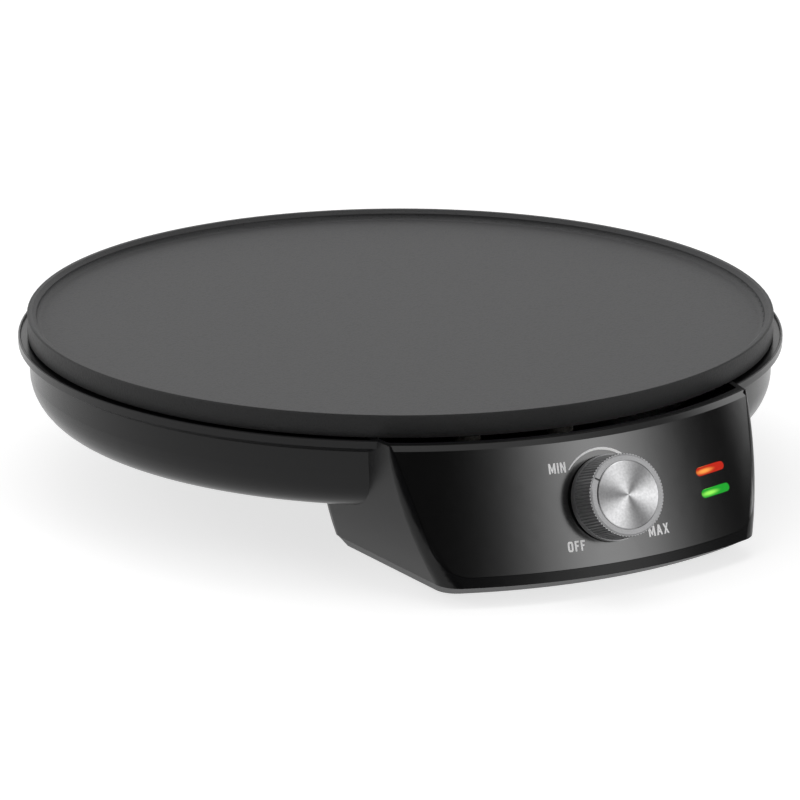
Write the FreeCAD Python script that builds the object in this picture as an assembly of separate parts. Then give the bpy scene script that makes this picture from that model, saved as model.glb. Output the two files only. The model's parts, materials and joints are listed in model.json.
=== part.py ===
"""Electric crepe maker: a cast plate on a moulded base with a control housing in front.

Lengths are in millimetres and angles in degrees. The plate's axis is vertical, the
controls face -Y and the feet stand on z = 0. Angles round the plate are counted from
the front, positive towards +X.
"""
import FreeCAD, Part
import math
import os

Vec = FreeCAD.Vector
UP = Vec(0, 0, 1)

# Heights of the control housing, from the table upwards
foot_proud = 2.6
cover_height = 4.9
shell_lip_height = 3.8
bowl_ground_clearance = 21.8

# Cooking plate
rim_radius = 153.0
rim_land = 2.0
rim_rise = 3.9
rim_slope_run = 1.6
rim_edge_bevel = 0.5
surface_cove = 2.4
plate_wall_height = 8.75
plate_thickness = 4.3
plate_skirt_width = 3.0
plate_lift = 1.15

# Drip ring and bowl of the base
flange_overhang = 3.85
lip_height = 0.9
lip_width = 1.1
lip_bevel = 0.3
flange_wall_height = 3.1
flange_slope_height = 2.8
flange_slope_run = 3.9
bowl_depth = 36.2
bowl_wall = 2.5
bowl_corner_radius = 17.0
bowl_wall_straight = 14.1
bowl_belly_angle = 14.0

# Control housing
panel_step = 6.6
panel_lean = 21.4
cheek_half_width = 79.0
cheek_convergence = 6.1
cheek_draft = 8.3
cheek_bulge = 2.6
housing_sections = 3
housing_wall = 2.5
housing_depth = 75.4
front_corner_radius_top = 1.4
front_corner_radius_bottom = 12.0
rear_corner_radius = 7.0
deck_drop = 4.0
cover_floor = 2.2
cover_front_tuck = 8.6
cover_side_tuck = 2.6
cover_gap = 0.3

# Front panel
panel_thickness = 2.4
panel_side_margin = 1.0
panel_corner_radius = 13.0
panel_edge_bevel = 1.1
panel_clearance = 0.15

# Knob, shaft and thermostat
knob_height_on_panel = 24.6
knob_gap = 0.8
knob_skirt_radius = 16.7
knob_skirt_height = 2.5
knob_grip_base_radius = 16.3
knob_grip_front_radius = 15.9
knob_grip_height = 11.2
knob_bevel = 0.9
knob_land = 1.9
knob_wall = 3.3
knob_web = 2.0
knob_hub_radius = 6.2
knob_hub_start = 4.6
knurl_count = 76
knurl_depth = 0.5
cap_thickness = 0.9
cap_proud = 0.5
cap_gap = 0.12
cap_bevel = 0.3
pointer_width = 0.7
pointer_depth = 0.25
pointer_angle = 57.0
shaft_radius = 3.0
shaft_flat = 2.4
shaft_tip = 13.0
shaft_end_gap = 0.3
shaft_clearance = 0.05
spring_width = 3.6
spring_thickness = 0.9
bush_radius = 5.0
bush_proud = 3.5
bush_clearance = 0.12
nut_across_flats = 14.0
nut_sides = 6
nut_thickness = 3.0
washer_radius = 8.6
washer_thickness = 0.6
spot_face_depth = 0.45
spot_face_margin = 1.0
thermostat_radius = 13.0
thermostat_depth = 16.0
thermostat_tab_size = 4.0
thermostat_tab_length = 5.0
pad_depth = 6.0
pad_margin = 1.2

# Indicator lamps
lamp_angle = 16.8
lamp_width = 15.0
lamp_height = 3.2
lamp_pitch = 8.7
lamp_height_on_panel = 22.4
lens_proud = 0.35
lens_flange = 1.0
lens_flange_thickness = 0.8
lens_seat_gap = 0.4
lens_length = 4.6
holder_margin = 2.6
holder_depth = 7.0
bulb_radius = 1.3
bulb_length = 6.0
lamp_clearance = 0.1

# Plate mounting columns, spacers and screws
column_count = 4
column_ring_radius = 68.0
column_radius = 6.0
column_height = 11.5
counterbore_radius = 4.4
counterbore_depth = 6.0
plate_screw_radius = 2.0
plate_screw_head_radius = 4.0
plate_screw_head_height = 2.6
plate_boss_radius = 6.5
plate_boss_depth = 9.0
thread_depth = 7.5
thread_clearance = 0.03
screw_tip_gap = 1.0
through_clearance = 0.25
spacer_radius = 5.0

# Heating element
element_ring_radius = 100.0
element_radius = 3.4
element_sides = 8
element_half_gap_angle = 16.0
element_bend_radius = 7.0
element_leg_length = 6.0
element_rib_depth = 6.0
element_rib_width = 14.0
element_seat_clearance = 0.08
bead_radius = 5.0
bead_length = 10.0
bead_overlap = 3.0
pin_radius = 1.25
pin_length = 11.0

# Heat shield
shield_margin = 30.0
shield_sheet = 0.6
shield_rim_height = 8.0
shield_hole_clearance = 0.6

# Temperature probe, its capillary and the thermal cut-out
probe_radius = 2.0
probe_length = 50.0
capillary_radius = 0.8
capillary_sides = 6
capillary_bend = 5.0
capillary_offset = 7.0
capillary_run = 9.0
capillary_rise_y = -45.0
cutout_radius = 2.4
cutout_length = 14.0
cutout_lead_radius = 0.6
cutout_lead_length = 7.0
cutout_x = 40.0
clip_width = 9.0
clip_sheet = 0.6
clip_ear = 7.5
clip_clearance = 0.04
clip_screw_radius = 1.4
clip_screw_head_radius = 2.5
clip_screw_head_height = 1.5
clip_screw_depth = 2.6

# Terminal block and wiring window
block_length = 34.0
block_width = 15.0
block_height = 9.0
block_x = -22.0
block_y_from_rear = 24.0
block_pad_height = 3.0
block_pad_radius = 5.0
terminal_count = 3
terminal_radius = 2.1
terminal_depth = 4.0
terminal_wall = 1.0
block_screw_radius = 1.5
block_screw_head_radius = 2.7
block_screw_head_height = 1.6
window_half_width = 16.0
window_height = 15.0

# Cord inlet
gland_bore_radius = 3.3
gland_radius = 5.0
gland_collar_radius = 6.3
gland_outer_collar = 2.2
gland_inner_collar = 1.5
gland_clearance = 0.05

# Small fasteners of the cover and the panel
cover_screw_radius = 1.5
cover_screw_head_radius = 2.9
cover_screw_head_height = 1.8
cover_screw_length = 14.0
cover_cup_radius = 5.2
cover_cup_height = 4.2
cover_cup_roof = 1.6
cover_post_radius = 4.5
cover_post_gap = 0.05
rear_post_inset_x = 20.0
rear_post_inset_y = 14.0
front_post_angle = 11.0
panel_screw_angle = 22.0
panel_screw_margin = 9.0
panel_screw_radius = 1.3
panel_screw_head_radius = 3.2
panel_screw_head_height = 1.6
panel_screw_bite = 3.4
panel_boss_radius = 3.0

# Feet and rear legs
pad_radius = 8.0
pad_recess = 1.0
pad_stem_radius = 2.6
pad_stem_length = 4.0
pad_stem_clearance = 0.05
front_foot_x = 46.0
front_foot_inset = 42.0
leg_x = 62.0
leg_y = 88.0
leg_top_radius = 15.0
leg_bottom_radius = 10.5

# Vents
vent_width = 3.0
vent_length = 24.0
floor_vent_count = 7
floor_vent_ring_radius = 38.0
cover_vent_count = 6
cover_vent_pitch = 8.0

# Levels and radii that follow from the sizes above
cover_top = foot_proud + cover_height
panel_bottom = cover_top + shell_lip_height
top_level = bowl_ground_clearance + bowl_depth
ledge_level = top_level - lip_height
flange_radius = rim_radius + flange_overhang
bowl_radius = flange_radius - lip_width / 2 - flange_slope_run
bowl_bottom = bowl_ground_clearance
bowl_floor = bowl_bottom + bowl_wall
deck_level = top_level - deck_drop
panel_top_radius = flange_radius + panel_step
plate_edge = ledge_level + plate_lift
rim_top = plate_edge + plate_wall_height
surface_level = rim_top - rim_rise
plate_underside = surface_level - plate_thickness
column_top = bowl_floor + column_height
shield_top = column_top + shield_sheet
boss_bottom = plate_underside - plate_boss_depth
element_level = plate_underside - element_rib_depth
housing_rear = -(panel_top_radius - housing_depth)
cavity_front = panel_thickness + housing_wall
lean_slope = math.tan(math.radians(panel_lean))
knob_level = panel_bottom + knob_height_on_panel * math.cos(math.radians(panel_lean))
lamp_level = panel_bottom + lamp_height_on_panel * math.cos(math.radians(panel_lean))
knob_front = knob_gap + knob_skirt_height + knob_grip_height + knob_bevel
knob_face_radius = knob_grip_front_radius - knob_bevel
cap_radius = knob_face_radius - knob_land
shield_radius = element_ring_radius + shield_margin
beyond = 5.0
cut_margin = 1.0


def panel_radius(level):
    """Radius of the panel's outer face at a height."""
    return panel_top_radius + (top_level - level) * lean_slope


def front_point(radius, angle, level=0.0):
    """Point at an angle counted from the front of the plate's axis."""
    turn = math.radians(angle)
    return Vec(radius * math.sin(turn), -radius * math.cos(turn), level)


def line(start, end):
    return Part.LineSegment(start, end).toShape()


def arc(start, middle, end):
    return Part.Arc(start, middle, end).toShape()


def cylinder(radius, height, base, direction=UP):
    return Part.makeCylinder(radius, height, base, direction)


def box_between(low, high):
    size = high - low
    return Part.makeBox(size.x, size.y, size.z, low)


def revolve_edges(edges, axis_point=Vec(0, 0, 0)):
    face = Part.Face(Part.Wire(edges))
    return face.revolve(axis_point, UP, 360)


def revolve_points(points, axis_point=Vec(0, 0, 0)):
    """Solid of revolution from (radius, height) points."""
    corners = [Vec(axis_point.x + radius, axis_point.y, height) for radius, height in points]
    corners.append(corners[0])
    return Part.Face(Part.makePolygon(corners)).revolve(axis_point, UP, 360)


def fused(shapes):
    whole = shapes[0]
    if len(shapes) > 1:
        whole = whole.fuse(shapes[1:])
    return whole.removeSplitter()


def panel_frame(angle, level):
    """Placement on the panel's face: x to the right, y up the slope, z outwards."""
    turn = math.radians(angle)
    lean = math.radians(panel_lean)
    right = Vec(math.cos(turn), math.sin(turn), 0)
    out = Vec(math.cos(lean) * math.sin(turn), -math.cos(lean) * math.cos(turn), math.sin(lean))
    up = out.cross(right)
    spot = front_point(panel_radius(level), angle, level)
    return FreeCAD.Placement(FreeCAD.Matrix(
        right.x, up.x, out.x, spot.x,
        right.y, up.y, out.y, spot.y,
        right.z, up.z, out.z, spot.z,
        0, 0, 0, 1))


def placed(shape, placement):
    """Copy of a shape moved from the panel's frame to the part's frame."""
    copy = shape.copy()
    copy.transformShape(placement.toMatrix())
    return copy


def bar(radius, low, high):
    """Round bar along the panel's normal from one depth to another, its seam turned upwards."""
    shape = cylinder(radius, high - low, Vec(0, 0, low))
    shape.rotate(Vec(0, 0, 0), UP, 90)
    return shape


def capsule(width, height, low, high):
    """Slot with round ends, lying along x, from one depth to another."""
    radius = height / 2
    reach = width / 2 - radius
    edges = [
        line(Vec(-reach, -radius, low), Vec(reach, -radius, low)),
        arc(Vec(reach, -radius, low), Vec(reach + radius, 0, low), Vec(reach, radius, low)),
        line(Vec(reach, radius, low), Vec(-reach, radius, low)),
        arc(Vec(-reach, radius, low), Vec(-reach - radius, 0, low), Vec(-reach, -radius, low)),
    ]
    return Part.Face(Part.Wire(edges)).extrude(Vec(0, 0, high - low))


def column_spots():
    """Centres of the columns that carry the plate, seen from above."""
    step = 360.0 / column_count
    return [front_point(column_ring_radius, step / 2 + step * index) for index in range(column_count)]


def cheek_normal():
    turn = math.radians(cheek_convergence)
    return math.cos(turn), -math.sin(turn)


def cheek_distance(level):
    """Distance of a cheek's plane from the plate's axis at a height."""
    across, along = cheek_normal()
    corner_y = -math.sqrt(panel_top_radius ** 2 - cheek_half_width ** 2)
    at_top = across * cheek_half_width + along * corner_y
    share = (top_level - level) / (top_level - cover_top)
    bulge = 4 * cheek_bulge * share * (1 - share)
    return at_top + bulge - (top_level - level) * math.tan(math.radians(cheek_draft)) * across


def front_corner_radius(level):
    share = (top_level - level) / (top_level - foot_proud)
    return front_corner_radius_top + (front_corner_radius_bottom - front_corner_radius_top) * share


def housing_outline(level, front_inset=0.0, side_inset=0.0, rear_inset=0.0):
    """Closed outline of the control housing at a height: front arc, cheeks and rear."""
    across, along = cheek_normal()
    radius = panel_radius(level) - front_inset
    distance = cheek_distance(level) - side_inset
    corner = front_corner_radius_top
    if side_inset >= 0:
        corner = max(front_corner_radius(level) - side_inset, front_corner_radius_top)
    reach = math.sqrt((radius - corner) ** 2 - (distance - corner) ** 2)
    centre = Vec(across * (distance - corner) + along * reach, along * (distance - corner) - across * reach, level)
    outward = Vec(centre.x, centre.y, 0).normalize()
    on_front = centre + outward * corner
    on_cheek = centre + Vec(across, along, 0) * corner
    between = (outward + Vec(across, along, 0)).normalize()
    corner_middle = centre + between * corner
    rear_y = housing_rear - rear_inset
    rear_radius = rear_corner_radius - max(side_inset, 0.0)
    rear_centre_y = rear_y - rear_radius
    rear_centre = Vec((distance - rear_radius - along * rear_centre_y) / across, rear_centre_y, level)
    rear_on_cheek = rear_centre + Vec(across, along, 0) * rear_radius
    rear_between = (Vec(across, along, 0) + Vec(0, 1, 0)).normalize()
    rear_middle = rear_centre + rear_between * rear_radius
    rear_end = rear_centre + Vec(0, rear_radius, 0)

    def flip(point):
        return Vec(-point.x, point.y, point.z)

    edges = [
        arc(flip(on_front), Vec(0, -radius, level), on_front),
        arc(on_front, corner_middle, on_cheek),
        line(on_cheek, rear_on_cheek),
        arc(rear_on_cheek, rear_middle, rear_end),
        line(rear_end, flip(rear_end)),
        arc(flip(rear_end), flip(rear_middle), flip(rear_on_cheek)),
        line(flip(rear_on_cheek), flip(on_cheek)),
        arc(flip(on_cheek), flip(corner_middle), flip(on_front)),
    ]
    return Part.Wire(edges)


def housing_block(low, high, front_inset=0.0, side_inset=0.0, rear_inset=0.0):
    """Solid between two levels of the housing's outline, smooth through a few sections."""
    levels = [low + (high - low) * index / housing_sections for index in range(housing_sections + 1)]
    wires = [housing_outline(level, front_inset, side_inset, rear_inset) for level in levels]
    return Part.makeLoft(wires, True, False)


def bowl_edges(inset, top):
    """Half section of the bowl: wall, round corner, belly and floor, up to a level.

    The inside takes the corner in two flats, which keeps the hidden face simple.
    """
    belly = math.radians(90 - bowl_belly_angle)
    wall_radius = bowl_radius - inset
    corner = bowl_corner_radius - inset
    corner_level = ledge_level - bowl_wall_straight
    centre_radius = bowl_radius - bowl_corner_radius
    floor = bowl_bottom + inset
    belly_start = Vec(centre_radius + corner * math.cos(belly), 0, corner_level - corner * math.sin(belly))
    run = (belly_start.z - floor) / math.tan(math.radians(bowl_belly_angle))
    middle_turn = belly / 2
    middle = Vec(centre_radius + corner * math.cos(middle_turn), 0, corner_level - corner * math.sin(middle_turn))
    floor_end = Vec(belly_start.x - run, 0, floor)
    corners = [Vec(0, 0, floor), floor_end, belly_start, Vec(wall_radius, 0, corner_level)]
    rim = Vec(wall_radius, 0, top)
    bend = [arc(corners[2], middle, corners[3])]
    if inset > 0:
        bend = [line(corners[2], middle), line(middle, corners[3])]
    return [line(corners[0], corners[1]), line(corners[1], corners[2])] + bend + [line(corners[3], rim)], rim


def belly_level(radius):
    """Height of the bowl's underside at a radius: flat floor, then the rising belly."""
    belly = math.radians(90 - bowl_belly_angle)
    start_radius = bowl_radius - bowl_corner_radius * (1 - math.cos(belly))
    start_level = ledge_level - bowl_wall_straight - bowl_corner_radius * math.sin(belly)
    slope = math.tan(math.radians(bowl_belly_angle))
    floor_edge = start_radius - (start_level - bowl_bottom) / slope
    return bowl_bottom + max(radius - floor_edge, 0.0) * slope


def bowl_inside():
    edges, rim = bowl_edges(bowl_wall, top_level + beyond)
    centre_top = Vec(0, 0, rim.z)
    return revolve_edges(edges + [line(rim, centre_top), line(centre_top, Vec(0, 0, bowl_floor))])


def bowl_outside():
    """Bowl and drip ring as one solid of revolution, before it is hollowed."""
    slope_top = ledge_level - flange_wall_height + lip_height
    edges, rim = bowl_edges(0.0, slope_top - flange_slope_height)
    path = [
        rim,
        Vec(flange_radius, 0, slope_top),
        Vec(flange_radius, 0, top_level - lip_bevel),
        Vec(flange_radius - lip_bevel, 0, top_level),
        Vec(flange_radius - lip_width + lip_bevel, 0, top_level),
        Vec(flange_radius - lip_width, 0, top_level - lip_bevel),
        Vec(flange_radius - lip_width, 0, ledge_level),
        Vec(0, 0, ledge_level),
        Vec(0, 0, bowl_bottom),
    ]
    edges += [line(start, end) for start, end in zip(path[:-1], path[1:])]
    return revolve_edges(edges)


def panel_stamp(grow):
    """Front view of the panel as a prism along y: straight sides, round lower corners."""
    low = panel_bottom - grow
    high = top_level + beyond
    side_low = front_edge_x(panel_bottom) - panel_side_margin + grow
    side_high = front_edge_x(top_level) - panel_side_margin + grow
    slope = (side_high - side_low) / (top_level - panel_bottom)
    bottom_x = side_low - slope * grow
    top_x = side_high + slope * (high - top_level)
    radius = panel_corner_radius + grow
    tilt = math.atan(slope)
    centre = Vec(bottom_x + slope * radius - radius / math.cos(tilt), 0, low + radius)
    on_side = centre + Vec(math.cos(tilt), 0, -math.sin(tilt)) * radius
    turn = (math.pi / 2 + tilt) / 2
    middle = centre + Vec(math.cos(turn), 0, -math.sin(turn)) * radius
    on_bottom = centre - Vec(0, 0, radius)

    def flip(point):
        return Vec(-point.x, point.y, point.z)

    top_right = Vec(top_x, 0, high)
    edges = [
        line(flip(on_bottom), on_bottom),
        arc(on_bottom, middle, on_side),
        line(on_side, top_right),
        line(top_right, flip(top_right)),
        line(flip(top_right), flip(on_side)),
        arc(flip(on_side), flip(middle), flip(on_bottom)),
    ]
    stamp = Part.Face(Part.Wire(edges)).extrude(Vec(0, -2 * panel_top_radius, 0))
    stamp.translate(Vec(0, housing_rear, 0))
    return stamp


def front_edge_x(level):
    """Half width where a cheek's plane meets the front face."""
    across, along = cheek_normal()
    radius = panel_radius(level)
    distance = cheek_distance(level)
    reach = math.sqrt(radius ** 2 - distance ** 2)
    return across * distance + along * reach


def panel_screw_frames():
    lean = math.cos(math.radians(panel_lean))
    levels = (panel_bottom + panel_screw_margin * lean, top_level - panel_screw_margin * lean)
    return [panel_frame(side * panel_screw_angle, level) for side in (-1, 1) for level in levels]


def cover_post_spots():
    """Centres of the posts that take the cover's screws: two behind, two in front."""
    rear_x = front_edge_x(cover_top) - rear_post_inset_x
    rear_y = housing_rear - rear_post_inset_y
    front_radius = bowl_radius + cover_post_radius + cover_gap
    spots = []
    for side in (-1, 1):
        spots.append(Vec(side * rear_x, rear_y, 0))
        spots.append(front_point(front_radius, side * front_post_angle))
    return spots


def front_foot_spots():
    radius = panel_radius(foot_proud) - front_foot_inset
    y = -math.sqrt(radius ** 2 - front_foot_x ** 2)
    return [Vec(side * front_foot_x, y, 0) for side in (-1, 1)]


def leg_spots():
    return [Vec(side * leg_x, leg_y, 0) for side in (-1, 1)]


def slot_through(length, centre, angle, low, high):
    """Upright cutter with round ends, turned to an angle from the front."""
    cutter = capsule(length, vent_width, low, high)
    cutter.rotate(Vec(0, 0, 0), UP, angle)
    cutter.translate(centre)
    return cutter


def block_spot():
    return Vec(block_x, housing_rear - block_y_from_rear, 0)


def gland_level():
    return (cover_top + bowl_bottom) / 2


def element_path():
    """Ring with both ends turned down: the centre line of the tubular element."""
    edge_angle = element_half_gap_angle
    drop = Vec(0, 0, -1)
    ends = []
    for side in (1, -1):
        start = front_point(element_ring_radius, side * edge_angle, element_level)
        turn = math.radians(side * edge_angle)
        inward = Vec(-side * math.cos(turn), -side * math.sin(turn), 0)
        centre = start + drop * element_bend_radius
        middle = centre + (inward - drop).normalize() * element_bend_radius
        bend_end = centre + inward * element_bend_radius
        leg_end = bend_end + drop * element_leg_length
        ends.append((start, middle, bend_end, leg_end))
    right, left = ends
    back = Vec(0, element_ring_radius, element_level)
    return [
        line(right[3], right[2]),
        arc(right[2], right[1], right[0]),
        arc(right[0], back, left[0]),
        arc(left[0], left[1], left[2]),
        line(left[2], left[3]),
    ], (right[3], left[3])


def swept(edges, radius, sides=0):
    """Rod along a smooth path of lines and arcs: round, or with flat sides a set distance out."""
    wire = Part.Wire(edges)
    first = edges[0]
    start = first.valueAt(first.FirstParameter)
    direction = first.tangentAt(first.FirstParameter)
    section = Part.Wire(Part.makeCircle(radius, start, direction))
    if sides:
        corner = radius / math.cos(math.pi / sides)
        turns = [2 * math.pi * (index + 0.5) / sides for index in range(sides + 1)]
        across = direction.cross(Vec(0, 1, 0)).normalize()
        along = direction.cross(across)
        section = Part.makePolygon([start + across * (corner * math.cos(turn)) + along * (corner * math.sin(turn))
                                    for turn in turns])
    return wire.makePipeShell([section], True, False)


def element_feet():
    return element_path()[1]


def make_cooking_plate():
    """Cast plate: flat surface, raised rim, short skirt, element rib and screw bosses."""
    inner_rim = rim_radius - rim_land
    wall_foot = inner_rim - rim_slope_run
    cove_start = wall_foot - surface_cove
    cove_middle = Vec(wall_foot - surface_cove * (1 - math.sin(math.pi / 4)), 0,
                      surface_level + surface_cove * (1 - math.cos(math.pi / 4)))
    edges = [
        line(Vec(0, 0, surface_level), Vec(cove_start, 0, surface_level)),
        arc(Vec(cove_start, 0, surface_level), cove_middle, Vec(wall_foot, 0, surface_level + surface_cove)),
        line(Vec(wall_foot, 0, surface_level + surface_cove), Vec(inner_rim, 0, rim_top)),
        line(Vec(inner_rim, 0, rim_top), Vec(rim_radius - rim_edge_bevel, 0, rim_top)),
        line(Vec(rim_radius - rim_edge_bevel, 0, rim_top), Vec(rim_radius, 0, rim_top - rim_edge_bevel)),
        line(Vec(rim_radius, 0, rim_top - rim_edge_bevel), Vec(rim_radius, 0, plate_edge)),
        line(Vec(rim_radius, 0, plate_edge), Vec(rim_radius - plate_skirt_width, 0, plate_edge)),
        line(Vec(rim_radius - plate_skirt_width, 0, plate_edge),
             Vec(rim_radius - plate_skirt_width, 0, plate_underside)),
        line(Vec(rim_radius - plate_skirt_width, 0, plate_underside), Vec(0, 0, plate_underside)),
        line(Vec(0, 0, plate_underside), Vec(0, 0, surface_level)),
    ]
    plate = revolve_edges(edges)
    half = element_rib_width / 2
    rib = revolve_points([
        (element_ring_radius - half, plate_underside + plate_thickness / 2),
        (element_ring_radius + half, plate_underside + plate_thickness / 2),
        (element_ring_radius + half, element_level),
        (element_ring_radius - half, element_level),
    ])
    bosses = [cylinder(plate_boss_radius, plate_boss_depth + plate_thickness / 2, spot + Vec(0, 0, boss_bottom))
              for spot in column_spots()]
    plate = fused([plate, rib] + bosses)
    cutters = [swept(element_path()[0], element_radius + element_seat_clearance, element_sides)]
    for spot in column_spots():
        cutters.append(cylinder(plate_screw_radius + thread_clearance, thread_depth + beyond,
                                spot + Vec(0, 0, boss_bottom - beyond)))
    for spot in clip_screw_spots():
        cutters.append(cylinder(clip_screw_radius + thread_clearance, clip_screw_depth + beyond,
                                spot + Vec(0, 0, plate_underside - beyond)))
    return plate.cut(cutters)


def make_base_shell():
    """Moulded base: bowl with drip ring, control housing, columns, posts and legs."""
    body = fused([bowl_outside(), housing_block(cover_top, top_level)])
    legs = [Part.makeCone(leg_bottom_radius, leg_top_radius, bowl_floor - foot_proud, spot + Vec(0, 0, foot_proud))
            for spot in leg_spots()]
    body = fused([body] + legs)
    cavity = housing_block(cover_top - beyond, deck_level - housing_wall, cavity_front, housing_wall, housing_wall)
    cavity = cavity.cut(bowl_outside())
    trough = housing_block(deck_level, top_level + beyond, cavity_front, housing_wall, -bowl_radius)
    trough = trough.cut(cylinder(bowl_radius - bowl_wall, 2 * top_level, Vec(0, 0, 0)))
    trough = trough.common(box_between(Vec(-2 * rim_radius, -2 * rim_radius, 0),
                                       Vec(2 * rim_radius, housing_rear, 2 * top_level)))
    body = body.cut([bowl_inside(), cavity, trough, panel_pocket()])
    body = fused([body] + shell_bosses())
    return body.cut(shell_holes())


def panel_pocket():
    """Recess in the housing's front wall that the panel lies in."""
    core = housing_block(cover_top, top_level + 2 * beyond, panel_thickness + panel_clearance, -beyond, -beyond)
    return panel_stamp(panel_clearance).cut(core)


def shell_bosses():
    """Columns for the plate, posts for the cover and flat pads behind the panel."""
    bosses = [cylinder(column_radius, column_height + bowl_wall / 2, spot + Vec(0, 0, bowl_floor - bowl_wall / 2))
              for spot in column_spots()]
    rear_left, front_left, rear_right, front_right = cover_post_spots()
    post_bottom = foot_proud + cover_cup_height + cover_post_gap
    for spot in (rear_left, rear_right):
        post_top = belly_level(math.hypot(spot.x, spot.y)) + bowl_wall / 2
        bosses.append(cylinder(cover_post_radius, post_top - post_bottom, spot + Vec(0, 0, post_bottom)))
    for spot in (front_left, front_right):
        bosses.append(cylinder(cover_post_radius, deck_level - housing_wall / 2 - post_bottom,
                               spot + Vec(0, 0, post_bottom)))
    start = -(panel_thickness + housing_wall / 2)
    bosses.append(placed(bar(thermostat_radius + pad_margin, -pad_depth, start), panel_frame(0, knob_level)))
    half_width = holder_half_width() + pad_margin
    half_height = holder_half_height() + pad_margin
    lamp_pad = box_between(Vec(-half_width, -half_height, -pad_depth), Vec(half_width, half_height, start))
    bosses.append(placed(lamp_pad, panel_frame(lamp_angle, lamp_level)))
    return bosses


def holder_half_width():
    return lamp_width / 2 + lens_flange + holder_margin


def holder_half_height():
    return lamp_pitch / 2 + lamp_height / 2 + lens_flange + holder_margin


def shell_holes():
    """Everything that is bored through the shell after its bosses are on."""
    cutters = []
    for spot in column_spots():
        cutters.append(cylinder(counterbore_radius, counterbore_depth, spot + Vec(0, 0, bowl_bottom)))
        cutters.append(cylinder(plate_screw_radius + through_clearance, 2 * column_height + counterbore_depth,
                                spot + Vec(0, 0, bowl_bottom)))
    for spot in cover_post_spots():
        cutters.append(cylinder(cover_screw_radius + thread_clearance, cover_screw_length,
                                spot + Vec(0, 0, foot_proud + cover_cup_height)))
    for spot in leg_spots():
        cutters.append(cylinder(pad_radius + pad_stem_clearance, pad_recess, spot + Vec(0, 0, foot_proud)))
        cutters.append(cylinder(pad_stem_radius + pad_stem_clearance, pad_stem_length,
                                spot + Vec(0, 0, foot_proud + pad_recess)))
    cutters.append(placed(bar(bush_radius + bush_clearance, -2 * pad_depth, cut_margin), panel_frame(0, knob_level)))
    cutters.append(placed(lamp_window(), panel_frame(lamp_angle, lamp_level)))
    for frame in panel_screw_frames():
        depth = panel_thickness + housing_wall + panel_clearance
        cutters.append(placed(bar(panel_screw_head_radius + through_clearance, -depth - beyond, -depth), frame))
        cutters.append(placed(bar(panel_boss_radius + panel_clearance, -depth - cut_margin, 0), frame))
    cutters.append(window_cutter())
    rear = housing_rear + beyond
    cutters.append(cylinder(gland_radius + gland_clearance, 2 * beyond + housing_wall,
                            Vec(0, rear, gland_level()), Vec(0, -1, 0)))
    for index in range(floor_vent_count):
        angle = index * 360.0 / floor_vent_count
        centre = front_point(floor_vent_ring_radius, angle, 0)
        cutters.append(slot_through(vent_length, centre, angle + 90, bowl_bottom - cut_margin,
                                    bowl_floor + cut_margin))
    return cutters


def window_cutter():
    """Opening low in the bowl's front wall for the wires and the capillary."""
    low = bowl_floor + bowl_wall
    return box_between(Vec(-window_half_width, -bowl_radius - bowl_wall, low),
                       Vec(window_half_width, -(bowl_radius - 2 * bowl_corner_radius), low + window_height))


def lamp_window():
    half_width = lamp_width / 2 + lens_flange + lamp_clearance
    half_height = lamp_pitch / 2 + lamp_height / 2 + lens_flange + lamp_clearance
    return box_between(Vec(-half_width, -half_height, -2 * pad_depth), Vec(half_width, half_height, 0))


def make_control_panel():
    """Glossy curved panel with holes for the thermostat's bush and the lenses."""
    core = housing_block(cover_top - beyond, top_level + beyond, panel_thickness, -beyond, -beyond)
    panel = housing_block(cover_top, top_level).cut(core).common(panel_stamp(0.0))
    bosses = []
    for frame in panel_screw_frames():
        boss = bar(panel_boss_radius, -panel_thickness - housing_wall, -panel_thickness / 2)
        bosses.append(placed(boss, frame))
    panel = fused([panel] + bosses)
    knob_frame = panel_frame(0, knob_level)
    cutters = [
        placed(bar(bush_radius + bush_clearance, -2 * panel_thickness, panel_thickness), knob_frame),
        placed(bar(washer_radius + spot_face_margin, -spot_face_depth, panel_thickness), knob_frame),
    ]
    edge_radius = panel_radius(top_level)
    cutters.append(revolve_points([
        (edge_radius - panel_edge_bevel, top_level), (edge_radius - panel_edge_bevel, top_level + beyond),
        (edge_radius + beyond, top_level + beyond), (edge_radius + beyond, top_level - panel_edge_bevel - beyond),
    ]))
    for frame in lamp_frames():
        slot = capsule(lamp_width + 2 * lamp_clearance, lamp_height + 2 * lamp_clearance,
                       -2 * panel_thickness, 2 * panel_thickness)
        cutters.append(placed(slot, frame))
    for frame in panel_screw_frames():
        depth = panel_thickness + housing_wall
        hole = bar(panel_screw_radius + thread_clearance, -depth - cut_margin, panel_screw_bite - depth)
        cutters.append(placed(hole, frame))
    return panel.cut(cutters)


def lamp_frames():
    """Frames of the red lens above and the green lens below."""
    rise = lamp_pitch / 2 * math.cos(math.radians(panel_lean))
    return [panel_frame(lamp_angle, lamp_level + rise), panel_frame(lamp_angle, lamp_level - rise)]


def make_lens(index):
    """Capsule lens with a flange that stops behind the panel."""
    back = -(panel_thickness + lens_seat_gap)
    face = capsule(lamp_width, lamp_height, back, lens_proud)
    flange = capsule(lamp_width + 2 * lens_flange, lamp_height + 2 * lens_flange - lamp_clearance,
                     back - lens_flange_thickness, back)
    body = capsule(lamp_width - lens_flange, lamp_height - lens_flange, -lens_length, back)
    return placed(fused([face, flange, body]), lamp_frames()[index])


def make_lamp_holder():
    """Block behind the lenses with a pocket for each lamp."""
    half_width = holder_half_width()
    half_height = holder_half_height()
    block = box_between(Vec(-half_width, -half_height, -pad_depth - holder_depth),
                        Vec(half_width, half_height, -pad_depth))
    block = placed(block, panel_frame(lamp_angle, lamp_level))
    cutters = []
    for frame in lamp_frames():
        pocket = bar(bulb_radius + lamp_clearance, -pad_depth - holder_depth - cut_margin, cut_margin - pad_depth)
        cutters.append(placed(pocket, frame))
    return block.cut(cutters)


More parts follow.
